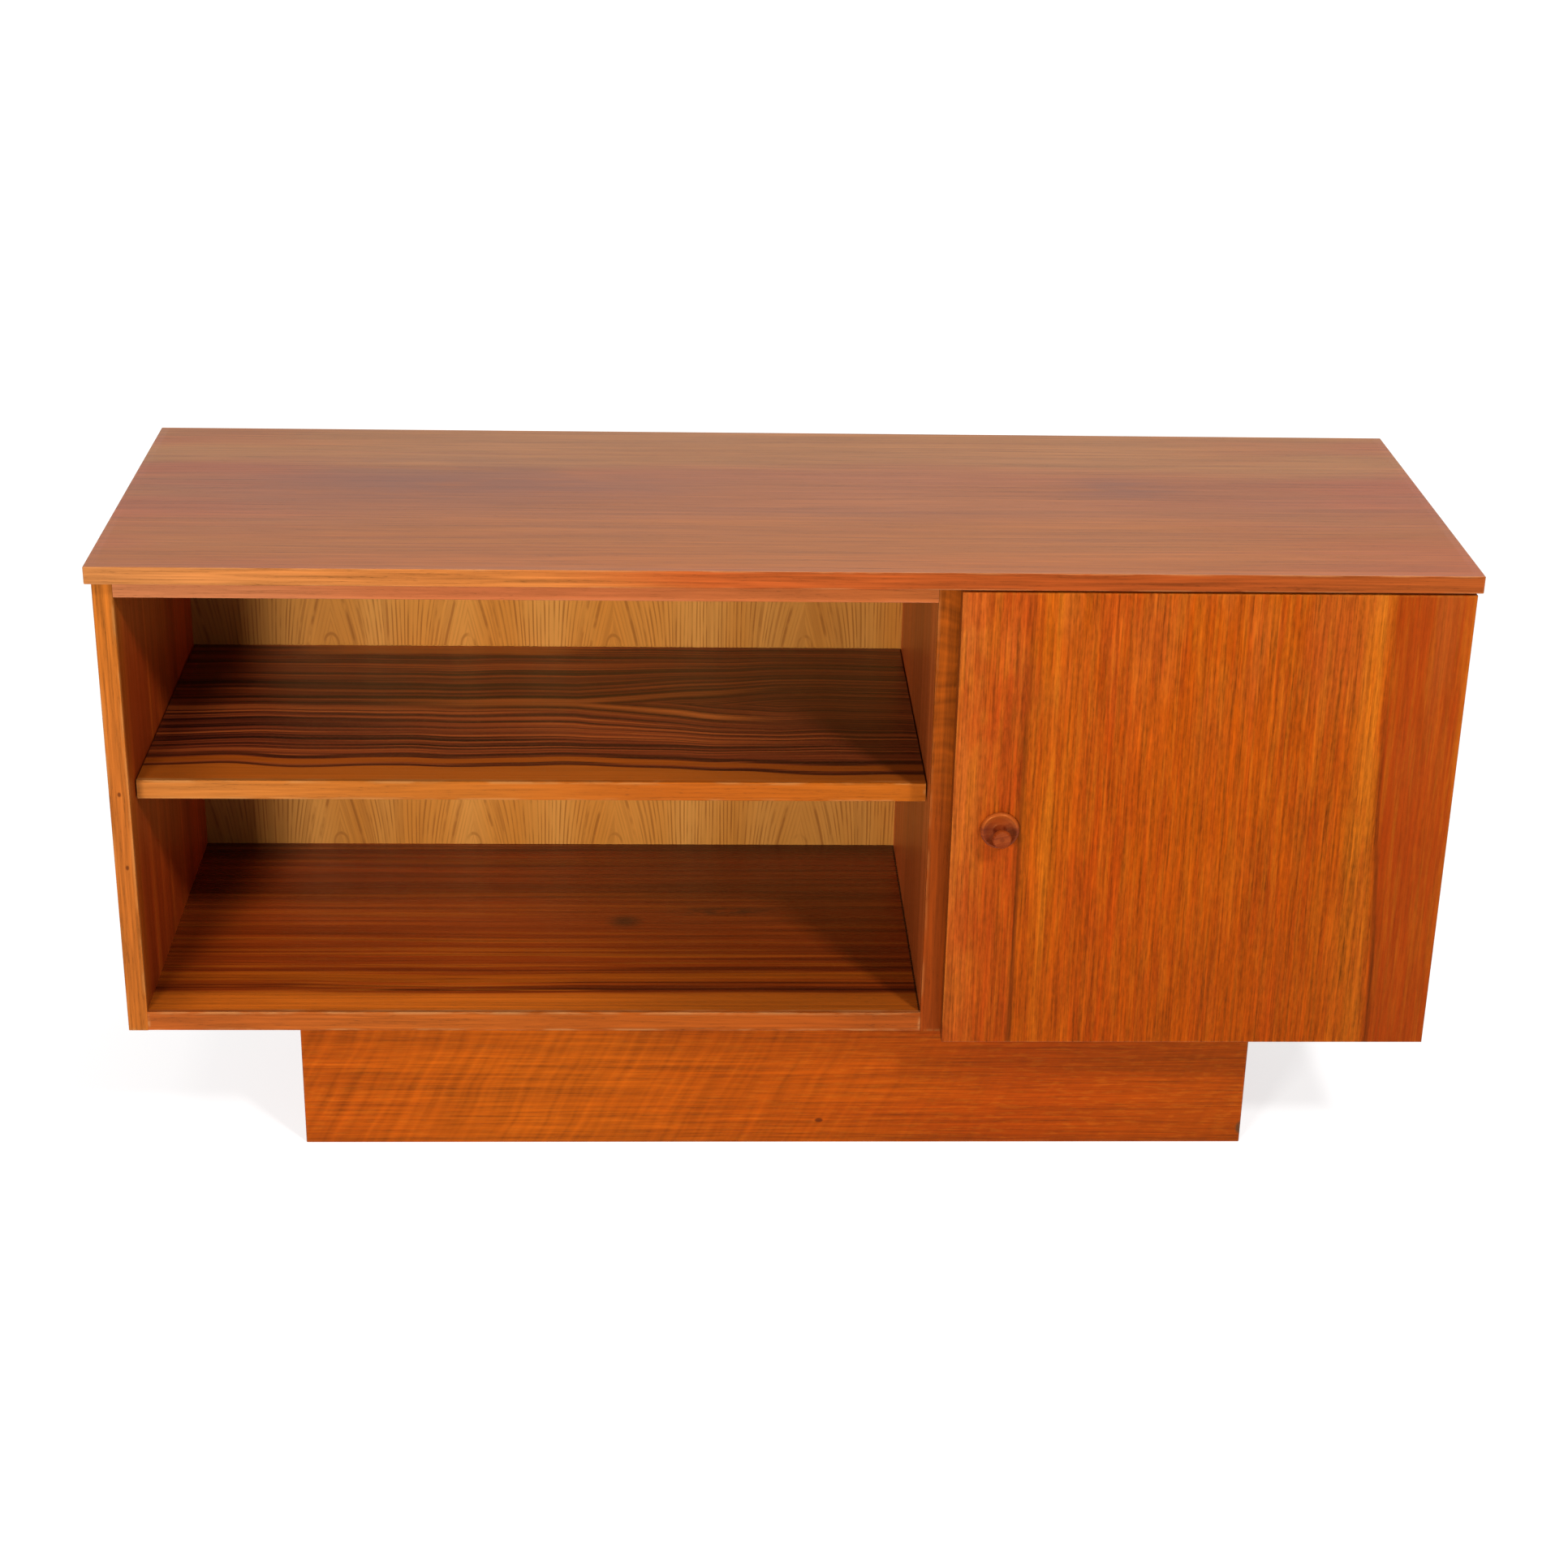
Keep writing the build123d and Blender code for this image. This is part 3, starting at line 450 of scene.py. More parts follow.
def door_veneer(name):
    """Three leaves of upright veneer, with a pale streak beside each joint. The right leaf is redder."""
    corners = joined("door_lipping_left", "door_lipping_right", "door_lipping_bottom", "door_lipping_top")
    width = corners[1][X] - corners[0][X]
    r = teak(name, Z, 2.0, 0.0032, 0.16, 0.003)
    # Across and drift go from 0 to 1 over the door's width. The right joint leans to the right at its foot.
    across = r.fraction(X, corners, r.place)
    tall = r.fraction(Z, corners)
    lean = r.times(r.ease(across, 0.79, 0.84), r.ease(tall, 0.0, 0.75, 0.034, 0.0))
    across = r.minus(across, lean)
    drift = r.uneven(across, r.noise(0.02, 0.3, 2.0, 0.5, shift=21.0), 0.012)
    colour = r.tones(drift, [(at / width, tone) for at, tone in DOOR_TONES], FRONT)
    golden = r.ease(r.noise(0.0042, 0.10, 3.0, 0.6, shift=41.0), 0.44, 0.64)
    colour = r.toward(colour, paint(222, 118, 22, FRONT), golden, 0.34)
    redder = r.ease(r.noise(0.006, 0.11, 3.0, 0.6, shift=47.0), 0.46, 0.64)
    colour = r.toward(colour, paint(186, 58, 6, FRONT), redder, 0.34)
    # Painted sheen: the upper part turns paler and pinker in patches, and the lower part redder with less
    # blue, standing in for the lamp's sheen high on the door.
    painted_sheen = r.ease(r.noise(0.03, 0.12, 2.0, 0.5, shift=67.0), 0.36, 0.64, 0.02, 0.18)
    colour = r.toward(colour, paint(214, 126, 56, FRONT), r.ease(tall, 0.45, 1.0), painted_sheen)
    colour = r.toward(colour, paint(194, 68, 1, FRONT), r.ease(tall, 0.0, 0.5, 0.28, 0.0))
    blotches = r.ease(r.noise(0.025, 0.06, 2.0, 0.5, shift=73.0), 0.46, 0.62, 0.0, 0.45)
    mostly_left = r.ease(across, 0.13, 0.16, 1.0, 0.35)
    colour = r.toward(colour, paint(190, 64, 14, FRONT), blotches, mostly_left)
    for joint, low_down, high_up in DOOR_JOINTS:
        seam = r.line(drift, joint / width, 0.0015, 0.0070)
        strength = r.ease(tall, 0.35, 0.95, low_down, high_up)
        colour = r.toward(colour, paint(120, 46, 6, FRONT), seam, strength)
    flecks = r.noise(0.0022, 0.009, 2.0, 0.6, shift=53.0)
    hairs = r.noise(0.0017, 0.06, 2.0, 0.6, shift=63.0)
    light = r.uneven(figure(r, 1.4, 0.9, 0.0, 0.10), flecks, 0.9)
    light = r.uneven(light, hairs, 0.9)
    calmer_right = r.ease(across, 0.835, 0.86, 1.0, 0.45)
    light = r.scaled(r.minus(light, 1.0), calmer_right, 1.0)
    # Painted shade: the door is a little darker low down than high up.
    painted_shade_below = r.ease(tall, 0.0, 1.0, 0.88, 0.97)
    # Painted shade: faces that look left are darkened, standing in for the shade in the gap beside the
    # divider.
    painted_gap_shade = r.scaled(r.facing(X, -1), -0.4, 1.0)
    colour = r.shade(colour, light, painted_shade_below, painted_gap_shade)
    colour = r.worn(colour, corners, paint(230, 134, 44, FRONT), 0.0025, 0.35)
    return oiled(r, colour, tint=DOOR_GLOSS)


def plinth_front():
    """Level veneer with slanting bars that fade to the right, a small dark mark and a worn corner."""
    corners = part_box("plinth_front")
    r = teak("plinth_front", X, 3.0, 0.0034, 0.22, 0.004)
    along = r.fraction(X, corners)
    colour = r.tones(r.uneven(along, r.noise(0.03, 0.3, 2.0, 0.5, shift=21.0), 0.3), (
        (0.00, (206, 88, 8)),
        (0.25, (216, 99, 10)),
        (0.50, (208, 88, 6)),
        (0.75, (196, 74, 4)),
        (1.00, (192, 77, 4)),
    ), FRONT, "EASE")
    flecks = r.ease(r.noise(0.0032, 0.016, 2.0, 0.6, shift=37.0), 0.50, 0.66)
    colour = r.toward(colour, paint(222, 110, 20, FRONT), flecks, 0.30)
    bars = ripples(r, X, 0.0080, 0.09, -0.5, 1.2)
    fading = r.ease(along, 0.40, 0.80, 0.72, 0.22)
    light = r.uneven(figure(r, 1.1, 0.9, 0.4, 0.12), bars, fading)
    # Painted shade: the plinth front is darker close to the floor.
    painted_shade_below = r.ease(r.axis(Z), 0.0, 0.022, 0.86, 1.0)
    colour = r.shade(colour, light, painted_shade_below)
    mark = r.spot((0.041, corners[0][Y], 0.024), (0.005, 0.01, 0.003), 0.5)
    colour = r.toward(colour, paint(84, 30, 10, FRONT), mark, 0.75)
    corner = r.spot((corners[1][X], corners[0][Y], 0.016), (0.006, 0.006, 0.009), 0.5)
    colour = r.toward(colour, paint(120, 70, 40, FRONT), corner)
    colour = r.worn(colour, corners, paint(212, 120, 60, FRONT), 0.003, 0.4)
    return oiled(r, colour)


# ---------------------------------------------------------------- level boards of the bays

# Lines along the front of the boards: start and end in metres behind the front edge, colour.
SHELF_BANDS = (
    (0.046, 0.051, (46, 10, 6)),
    (0.054, 0.065, (146, 68, 12)),
    (0.068, 0.074, (40, 10, 6)),
)
FLOOR_BANDS = (
    (0.046, 0.060, (88, 26, 6)),
    (0.051, 0.054, (52, 10, 4)),
    (0.066, 0.084, (144, 66, 10)),
)


def zebra_stripes(r, x, y, depth):
    """Dark stripes, and among them one long, bright, pointed figure with dark sides.

    Each stripe keeps one value of ring: the distance from the figure's middle line, plus a part that
    grows to the left, so the stripes draw together there. The pointed figure is one such stripe.
    """
    middle_line = 0.040
    pointed = 0.0395
    side = r.minus(y, middle_line)
    away = r.math("ABSOLUTE", side)
    closing = r.ease(x, -0.193, 0.0, 0.036, 0.0, smooth=False)
    ring = r.plus(away, r.times(closing, r.ease(away, 0.0, 0.13, 1.0, 0.0)))
    half = r.times(r.math("SIGN", side), 0.9)
    stripes = r.texture(r.vector(r.times(ring, 195.0), r.times(x, 1.1), half), 3.0, 0.64)
    hairs = r.texture(r.vector(r.times(ring, 430.0), r.times(x, 2.5), half), 2.0, 0.6)
    bold = r.texture(r.vector(r.times(ring, 80.0), r.times(x, 1.4), half), 2.0, 0.6)
    stripes = r.uneven(stripes, hairs, 0.62)
    stripes = r.uneven(stripes, bold, r.ease(depth, 0.30, 0.75, 0.0, 0.45))
    colour = r.tones(stripes, (
        (0.35, (30, 9, 6)),
        (0.43, (62, 22, 11)),
        (0.49, (92, 36, 16)),
        (0.56, (116, 49, 20)),
        (0.66, (146, 71, 27)),
    ), BAY)
    reach = r.times(r.ease(x, -0.42, -0.24), r.ease(x, 0.02, -0.08))
    beside = r.line(ring, pointed, 0.0070, 0.0160, 0.50, 1.0)
    colour = r.shade(colour, r.scaled(r.minus(beside, 1.0), reach, 1.0))
    bright = r.line(ring, pointed, 0.0022, 0.0082)
    broken = r.ease(hairs, 0.36, 0.60, 0.6, 1.0)
    return r.toward(colour, paint(174, 90, 34, BAY), bright, broken, reach, 0.94)


def zebra_shelf():
    """Dark striped veneer. Along its front run a pale edge, then a dark, a light and a dark line."""
    corners = joined("shelf_left", "shelf_left_lipping")
    left, front = corners[0][X], corners[0][Y]
    right, back = corners[1][X], corners[1][Y]
    r = teak("shelf_left", X, 4.0, 0.0032, 0.4, 0.007)
    depth = r.fraction(Y, corners)
    x = r.axis(X)
    y = r.uneven(r.axis(Y), r.noise(0.3, 0.11, 1.0, 0.5, shift=91.0), 0.018)
    colour = zebra_stripes(r, x, y, depth)

    wavy = r.scaled(r.noise(0.4, 0.16, 1.0, 0.5, shift=51.0), 0.026, y)
    wavy = r.plus(wavy, r.ease(x, -0.16, 0.09, 0.0, 0.016))
    for start, end, tone in SHELF_BANDS:
        inside = r.band(wavy, front + start, front + end)
        colour = r.toward(colour, paint(*tone, BAY), inside, 0.8)
    sapwood = r.ease(wavy, front + 0.045, front + 0.047, 1.0, 0.0)
    colour = r.toward(colour, paint(148, 73, 17, BAY), sapwood)
    # Painted light: a lighter band along the back edge, in the middle of the bay, where the lit back panel
    # meets the shelf.
    painted_light_back_edge = r.ease(wavy, back - 0.012, back - 0.006)
    left_half = r.times(r.ease(x, -0.50, -0.40), r.ease(x, -0.15, -0.25))
    colour = r.toward(colour, paint(150, 84, 26, BAY), painted_light_back_edge, left_half, 0.8)
    # Painted light and shade: the right part is darkened as the divider's shadow, the left end as the left
    # side's shadow, and the front is a little lighter than the back.
    painted_shade_right = r.ease(x, right - 0.30, right - 0.04, 1.06, 0.64)
    painted_light_front = r.ease(depth, 0.20, 0.80, 1.11, 1.06)
    painted_shadow_left_end = r.ease(x, left + 0.02, left + 0.09, 0.74, 1.04)
    light = figure(r, 0.6, 0.3, 0.3, 0.2)
    colour = r.shade(colour, light, painted_shade_right, painted_light_front, painted_shadow_left_end)
    return oiled(r, colour, 0.30, 0.27, tint=None)


def bay_floor(name, seed):
    """Red-brown veneer, darker at the back, with dark streaks near the front and a pale band at its edge."""
    corners = joined(name, name + "_lipping")
    left, front = corners[0][X], corners[0][Y]
    right, surface = corners[1][X], corners[1][Z]
    r = teak(name, X, seed, 0.004, 0.35, 0.006)
    x = r.axis(X)
    y = r.axis(Y)
    depth = r.fraction(Y, corners, r.place)
    colour = r.tones(r.uneven(depth, r.broad, 0.3), (
        (0.00, (140, 56, 10)),
        (0.30, (122, 45, 8)),
        (0.60, (114, 43, 9)),
        (0.85, (126, 46, 12)),
        (0.95, (84, 28, 8)),
        (1.00, (100, 44, 14)),
    ), BAY, "EASE")
    streaks = r.texture(r.vector(r.times(x, 1.6), r.times(y, 110.0), r.seed), 3.0, 0.62)
    in_front = r.ease(depth, 0.12, 0.45, 1.0, 0.35)
    colour = r.toward(colour, paint(62, 12, 4, BAY), r.ease(streaks, 0.49, 0.61), in_front, 0.85)
    colour = r.toward(colour, paint(164, 84, 16, BAY), r.ease(streaks, 0.47, 0.38), in_front, 0.65)
    wavy = r.scaled(r.noise(0.4, 0.2, 2.0, 0.5, shift=51.0), 0.014, y)
    for start, end, tone in FLOOR_BANDS:
        inside = r.band(wavy, front + start, front + end)
        broken = r.ease(r.noise(0.01, 0.25, 2.0, 0.6, shift=71.0 + 10 * start), 0.36, 0.56, 0.15, 0.85)
        colour = r.toward(colour, paint(*tone, BAY), inside, broken)

    knot = r.spot((-0.147, 0.014, surface), (0.024, 0.020, 0.05), 0.9)
    cloud = r.ease(r.noise(0.006, 0.02, 3.0, 0.65, shift=81.0), 0.36, 0.56)
    tail = r.times(r.spot((-0.045, 0.036, surface), (0.080, 0.014, 0.05), 0.9), cloud)
    colour = r.toward(colour, paint(52, 26, 12, BAY), r.math("MAXIMUM", knot, tail), 0.8)
    sapwood = r.ease(r.scaled(r.medium, 0.008, wavy), front + 0.044, front + 0.053, 1.0, 0.0)
    colour = r.toward(colour, paint(168, 82, 18, BAY), sapwood)
    # Painted light and shade: lighter left of the middle and darker to the right, in the divider's shadow; a
    # little darker at the front; and the left side's shadow along the left end.
    painted_shade_right = r.ease(x, -0.30, -0.05, 1.27, 0.82)
    painted_shade_front = r.ease(depth, 0.20, 0.60, 0.92, 1.03)
    shadow_edge = r.scaled(depth, 0.055, left + 0.030)
    left_shadow = r.ease(r.minus(x, shadow_edge), -0.035, 0.035, 0.58, 1.0)
    light = figure(r, 1.3, 0.5, 0.5, 0.25)
    colour = r.shade(colour, light, painted_shade_right, painted_shade_front, left_shadow)
    joint = r.ease(x, right - 0.0022, right - 0.0012)
    colour = r.toward(colour, paint(16, 8, 5, BAY), joint, 0.9)
    return oiled(r, colour, 0.27, 0.27, tint=None)


# ---------------------------------------------------------------- back panel

# Where the arches of the printed pattern stand, along X.
ARCHES = (-0.590, -0.444, -0.307, -0.161, 0.032, 0.190, 0.330, 0.490)


def nearest_arch(r, corners):
    """The place of the arch nearest to each point."""
    start = corners[0][X]
    width = corners[1][X] - start
    places = [(arch - start) / width for arch in ARCHES]
    limits = [0.0] + [(place + after) / 2 for place, after in zip(places, places[1:])]
    stops = [(limit, (place, place, place, 1.0)) for limit, place in zip(limits, places)]
    return r.scaled(r.ramp(r.fraction(X, corners), stops, "CONSTANT"), width, start)


def printed_lines(r, x, corners):
    """Upright lines that lean into arches, and a fine noise along them, both from 0 to 1.

    Arches stand on the floor and again on the shelf. Each has a foot, an inner and an outer outline.
    """
    line_spacing = 0.0038
    arch_height = 0.06
    foot_radius, inner_side, outer_side = 0.0072, 0.0235, 0.0335
    nearest = nearest_arch(r, corners)
    side = r.minus(x, nearest)
    away = r.math("ABSOLUTE", side)
    shelf_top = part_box("shelf_left")[1][Z]
    floor_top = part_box("bottom_left")[1][Z]
    height = r.math("FLOORED_MODULO", r.minus(r.axis(Z), floor_top), shelf_top - floor_top)
    height = r.math("MINIMUM", height, arch_height)
    lean = r.times(height, r.ease(away, 0.004, 0.075, 0.24, 0.0))
    spread = r.plus(away, lean)
    upright = r.scaled(r.math("SIGN", side), spread, nearest)

    drift = r.times(r.axis(Z), 4.0)
    fine = r.texture(r.vector(r.times(upright, 420.0), 0.0, drift), 2.0, 0.6)
    coarse = r.texture(r.vector(r.times(upright, 150.0), 3.7, drift), 1.0, 0.5)
    turns = r.times(r.scaled(coarse, 0.005, upright), 2 * math.pi / line_spacing)
    hairs = r.ease(r.math("SINE", turns), 0.0, 0.95)
    patchy = r.ease(r.noise(0.008, 0.05, 2.0, 0.6, shift=9.0), 0.36, 0.60, 0.25, 1.0)
    calm = r.ease(away, 0.012, 0.045, 0.35, 1.0)
    streaks = r.times(r.ease(coarse, 0.58, 0.72), 0.35)
    inner = r.line(spread, inner_side, 0.0005, 0.0022)
    outer = r.line(spread, outer_side, 0.0004, 0.0018, 0.7)
    foot = r.line(r.diagonal(away, r.times(height, 0.6)), foot_radius, 0.0004, 0.0018, 0.8)
    outlines = r.math("MAXIMUM", r.math("MAXIMUM", inner, outer), foot)
    outlines = r.times(outlines, r.ease(r.noise(0.02, 0.03, 2.0, 0.6, shift=7.0), 0.34, 0.56))
    lines = r.math("MAXIMUM", r.times(hairs, patchy, calm), streaks)
    return r.math("MAXIMUM", lines, outlines), fine


def printed_panel():
    """A thin board. Its front is printed with lines as in wood, its back is plain."""
    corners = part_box("back_panel")
    r = Recipe("back_panel", Z, 6.0)
    r.warp(0.03, 0.12, 0.003)
    x = r.axis(X)
    lines, fine = printed_lines(r, x, corners)
    patches = r.noise(0.05, 0.6, 1.0, 0.5, shift=19.0)
    colour = r.mottle(patches, ((202, 127, 44), (208, 136, 54), (214, 145, 64)), BAY)
    colour = r.toward(colour, paint(144, 80, 22, BAY), lines, 0.66)
    # Painted shadow and shade: the left end turns dark red-brown as the left side's shadow, and the panel is
    # darker towards both ends.
    colour = r.toward(colour, paint(110, 44, 14, BAY), r.ease(x, -0.575, -0.475, 0.45, 0.0))
    painted_shade_left = r.ease(x, -0.46, -0.32, 0.80, 1.0)
    painted_shade_right = r.ease(x, -0.16, 0.06, 1.0, 0.78)
    colour = r.shade(colour, painted_shade_left, painted_shade_right, r.scaled(fine, 0.25, 0.875))
    fibres = r.texture(r.rest, 4.0, 0.7, 700.0)
    plain = r.mottle(fibres, ((96, 62, 36), (126, 86, 54), (150, 108, 72)), 1.0)
    colour = r.blend(r.facing(Y), colour, plain)
    return r.finish(colour, r.scaled(fine, 0.1, 0.45), fine, 0.00005, specular=0.18)


# ---------------------------------------------------------------- other boards, and the knob

def inner_board(name, grain, seed, gain, tones, behind=1.0):
    """Plain veneer. The last argument says how many times lighter its back edge is painted, as painted light.
    """
    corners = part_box(name)
    r = teak(name, grain, seed, 0.006, 0.3, 0.006)
    colour = r.mottle(r.broad, tones, gain)
    # Painted light: lighter towards the back edge.
    painted_light_back = r.ease(r.fraction(Y, corners), 0.50, 0.95, 1.0, behind)
    colour = r.shade(colour, figure(r, 0.8, 0.25, 0.2, 0.2), painted_light_back)
    colour = r.worn(colour, corners, paint(200, 120, 60, gain), 0.002, 0.3)
    return oiled(r, colour, 0.4, 0.3)


def side_board(name, seed, outward):
    """A side: dark red-brown inside with a lighter strip along its front, lighter outside."""
    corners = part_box(name)
    front = corners[0][Y]
    r = teak(name, Z, seed, 0.0045, 0.3, 0.006)
    inner = r.mottle(r.broad, ((130, 43, 11), (150, 54, 13), (172, 74, 18)), SIDE)
    strip = r.ease(r.axis(Y), front + 0.010, front + 0.030, 0.8, 0.0)
    inner = r.toward(inner, paint(166, 75, 15, STRIP), strip)
    # Painted light and shade: the inner face is darker near its front and lighter towards its back.
    depth = r.fraction(Y, corners)
    painted_shade_front = r.ease(depth, 0.0, 0.3, 0.80, 1.0)
    painted_light_back = r.ease(depth, 0.50, 0.95, 1.0, 2.1)
    inner = r.shade(inner, painted_shade_front, painted_light_back)
    outer = r.mottle(r.broad, ((196, 84, 14), (208, 98, 20), (220, 112, 30)), FRONT)
    colour = r.blend(r.facing(X, outward), inner, outer)
    colour = r.shade(colour, figure(r, 1.1, 0.5, 0.2, 0.2))
    colour = r.worn(colour, corners, paint(206, 126, 62, FRONT), 0.002, 0.3)
    return oiled(r, colour, 0.4, 0.3)


def pale_wood(name, grain, seed, tones=((176, 128, 82), (196, 150, 104), (212, 170, 124))):
    """Unfinished wood of the hidden parts."""
    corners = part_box(name)
    r = teak(name, grain, seed, 0.004, 0.12, 0.004)
    colour = r.mottle(r.broad, tones, HIDDEN)
    colour = r.shade(colour, figure(r, 0.5, 0.3, 0.2, 0.2))
    colour = r.worn(colour, corners, paint(150, 104, 66, HIDDEN), 0.002, 0.5)
    return r.finish(colour, 0.75, r.fine, 0.0001, specular=0.2)


def turned_teak():
    """The knob. Its grain runs out of the door, so its face shows end grain with rings."""
    low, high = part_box("door_knob")
    face = low[Y]
    middle = [(near + far) / 2 for near, far in zip(low, high)]
    r = Recipe("door_knob", Y, 9.0)
    r.warp(0.02, 0.05, 0.003)
    # The rings' centre lies above the knob.
    beside = r.minus(r.axis(X), middle[X] - 0.012)
    below = r.minus(r.axis(Z), middle[Z] + 0.05)
    ring = r.diagonal(beside, below)
    growth = r.texture(r.vector(r.times(ring, 420.0), 0.0, r.times(r.axis(Y), 6.0)), 2.0, 0.6)
    fine = r.noise(0.0008, 0.012, 2.0, 0.6, shift=5.0)
    colour = r.mottle(growth, ((130, 46, 18), (156, 60, 24), (180, 78, 32)), FRONT)
    colour = r.shade(colour, r.scaled(fine, 0.4, 0.8))

    y = r.axis(Y, r.rest)
    aside = r.minus(r.axis(X, r.rest), middle[X])
    above = r.minus(r.axis(Z, r.rest), middle[Z])
    radius = r.diagonal(aside, above)
    # Painted highlight: the rim's upper part and the upper half of the knob are lighter, as light falls from
    # above.
    rim = r.ease(radius, 0.0115, 0.0135)
    painted_light_above = r.ease(above, 0.0, 0.010)
    colour = r.toward(colour, paint(216, 106, 36, FRONT), rim, painted_light_above, 0.85)
    colour = r.toward(colour, paint(204, 90, 28, FRONT), r.ease(above, 0.001, 0.010, 0.0, 0.55))
    # Painted shade: the hollow behind the knob's face is darkened below its middle.
    painted_hollow_shade = r.times(r.ease(y, face + 0.008, face + 0.014), r.ease(radius, 0.0155, 0.0125))
    colour = r.toward(colour, paint(118, 34, 10, FRONT), painted_hollow_shade, r.ease(above, 0.009, 0.001), 0.60)
    dimple = r.times(r.ease(y, face + 0.002, face + 0.0012), r.ease(radius, 0.0030, 0.0012))
    colour = r.toward(colour, paint(120, 40, 14, FRONT), dimple, 0.5)
    return r.finish(colour, r.scaled(growth, -0.1, 0.38), fine, 0.00012, 0.3, WARM_GLOSS)


# ---------------------------------------------------------------- metal and plastic

def metal(name, tone, rough, dull=(120, 104, 80)):
    """Drawn or rolled metal with fine scratches and dulled patches."""
    r = Recipe(name, Z, 12.0)
    scratches = r.noise(0.0003, 0.0072, 2.0, 0.6, shift=3.0)
    patches = r.ease(r.texture(r.rest, 3.0, 0.6, 260.0), 0.45, 0.7)
    colour = r.toward(paint(*tone), paint(*dull), patches, 0.5)
    colour = r.shade(colour, r.scaled(scratches, 0.3, 0.85))
    roughness = r.scaled(patches, 0.25, r.scaled(scratches, 0.15, rough))
    r.shader.inputs["Metallic"].default_value = 1.0
    return r.finish(colour, roughness, scratches, 0.00002)


def moulded(name, tone, rough):
    """Moulded plastic, or a pressed magnet, with fine grains and slight fading."""
    r = Recipe(name, Z, 14.0)
    grains = r.texture(r.rest, 2.0, 0.5, 2600.0)
    fading = r.texture(r.rest, 2.0, 0.5, 60.0)
    colour = r.shade(paint(*tone), r.scaled(fading, 0.3, 0.85))
    return r.finish(colour, r.scaled(grains, 0.2, rough), grains, 0.00004)


# ---------------------------------------------------------------- which node gets what

def give(name, material):
    """Every face of the node takes this material."""
    mesh_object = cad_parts[name]
    slots = mesh_object.material_slots
    if not slots:
        mesh_object.data.materials.append(material)
    for entry in slots:
        entry.material = material


def give_solid(name, *settings, **options):
    give(name, solid_teak(name, *settings, **options))


def give_inner(name, *settings, **options):
    give(name, inner_board(name, *settings, **options))


give("top_board", top_veneer())
give("top_lipping_front", top_edge("top_lipping_front", (
    (0.00, (226, 142, 76)),
    (0.28, (224, 132, 62)),
    (0.45, (208, 96, 40)),
    (0.70, (188, 83, 31)),
    (1.00, (188, 89, 34)),
), 21.0))
give("top_lipping_left", top_edge("top_lipping_left", ((0.0, (204, 108, 50)), (1.0, (196, 98, 46))), 22.0))
give("top_lipping_right", top_edge("top_lipping_right", ((0.0, (200, 92, 38)), (1.0, (190, 88, 40))), 23.0))

LIGHT_EDGE = ((0.0, (206, 111, 37)), (0.5, (211, 114, 41)), (1.0, (215, 118, 37)))
LIGHT_WEAR = (232, 156, 84)
low_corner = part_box("side_left_lipping")[0]
marks = [(low_corner[X] + inset, low_corner[Y], height) for inset, height in ((0.009, 0.385), (0.011, 0.313))]
give_solid("side_left_lipping", Z, 31.0, LIGHT_EDGE, LIGHT_WEAR, contrast=1.5, nicks=marks)
give_solid("side_right_lipping", Z, 32.0, LIGHT_EDGE, LIGHT_WEAR)
give_solid("divider_lipping", Z, 33.0, (
    (0.0, (171, 67, 11)), (0.4, (167, 67, 10)), (0.7, (177, 79, 11)), (1.0, (177, 81, 12)),
), (206, 122, 60), curl=1.3)
for bay, seed in (("left", 34.0), ("right", 35.0)):
    give_solid(f"subtop_{bay}_lipping", X, seed, (
        (0.0, (232, 140, 88)), (0.4, (226, 124, 72)), (1.0, (220, 116, 56)),
    ), (220, 130, 84), contrast=0.6)
    give_solid(f"shelf_{bay}_lipping", X, seed + 2, (
        (0.0, (226, 134, 58)), (0.35, (220, 122, 41)), (0.7, (214, 106, 26)), (1.0, (216, 110, 25)),
    ), (238, 164, 92), contrast=0.7)
    give_solid(f"bottom_{bay}_lipping", X, seed + 4, (
        (0.0, (208, 102, 38)), (0.3, (209, 103, 33)), (0.6, (203, 96, 27)), (1.0, (194, 88, 26)),
    ), (240, 170, 104))
    give(f"bottom_{bay}", bay_floor(f"bottom_{bay}", seed + 6))
    give_inner(f"subtop_{bay}", X, seed + 8, 0.7, ((120, 56, 24), (140, 68, 30), (156, 80, 36)))

give("side_left", side_board("side_left", 41.0, -1))
give("side_right", side_board("side_right", 42.0, 1))
give_inner("divider", Z, 43.0, 0.90, ((138, 61, 23), (154, 70, 26), (168, 80, 32)), behind=1.6)
give("shelf_left", zebra_shelf())
give_inner("shelf_right", X, 45.0, 0.8, ((96, 44, 20), (120, 56, 24), (140, 70, 30)))
give("back_panel", printed_panel())

give("plinth_front", plinth_front())
for name, grain, seed in (("plinth_back", X, 50.0), ("plinth_left", Y, 51.0), ("plinth_right", Y, 52.0)):
    give_inner(name, grain, seed, HIDDEN, ((168, 74, 24), (184, 86, 28), (196, 98, 34)))

DOOR_PIECES = (
    "door_panel", "door_lipping_left", "door_lipping_right", "door_lipping_top", "door_lipping_bottom",
)
for name in DOOR_PIECES:
    give(name, door_veneer(name))
give("door_knob", turned_teak())

give("plinth_corner_blocks", pale_wood("plinth_corner_blocks", Z, 60.0))
for name, seed in (("plinth_cleat_front", 61.0), ("plinth_cleat_back", 62.0)):
    give(name, pale_wood(name, X, seed))
for name, seed in (("carcass_dowels", 64.0), ("shelf_pins_left", 65.0), ("shelf_pins_right", 66.0)):
    give(name, pale_wood(name, X, seed, ((186, 146, 98), (206, 168, 120), (222, 188, 144))))

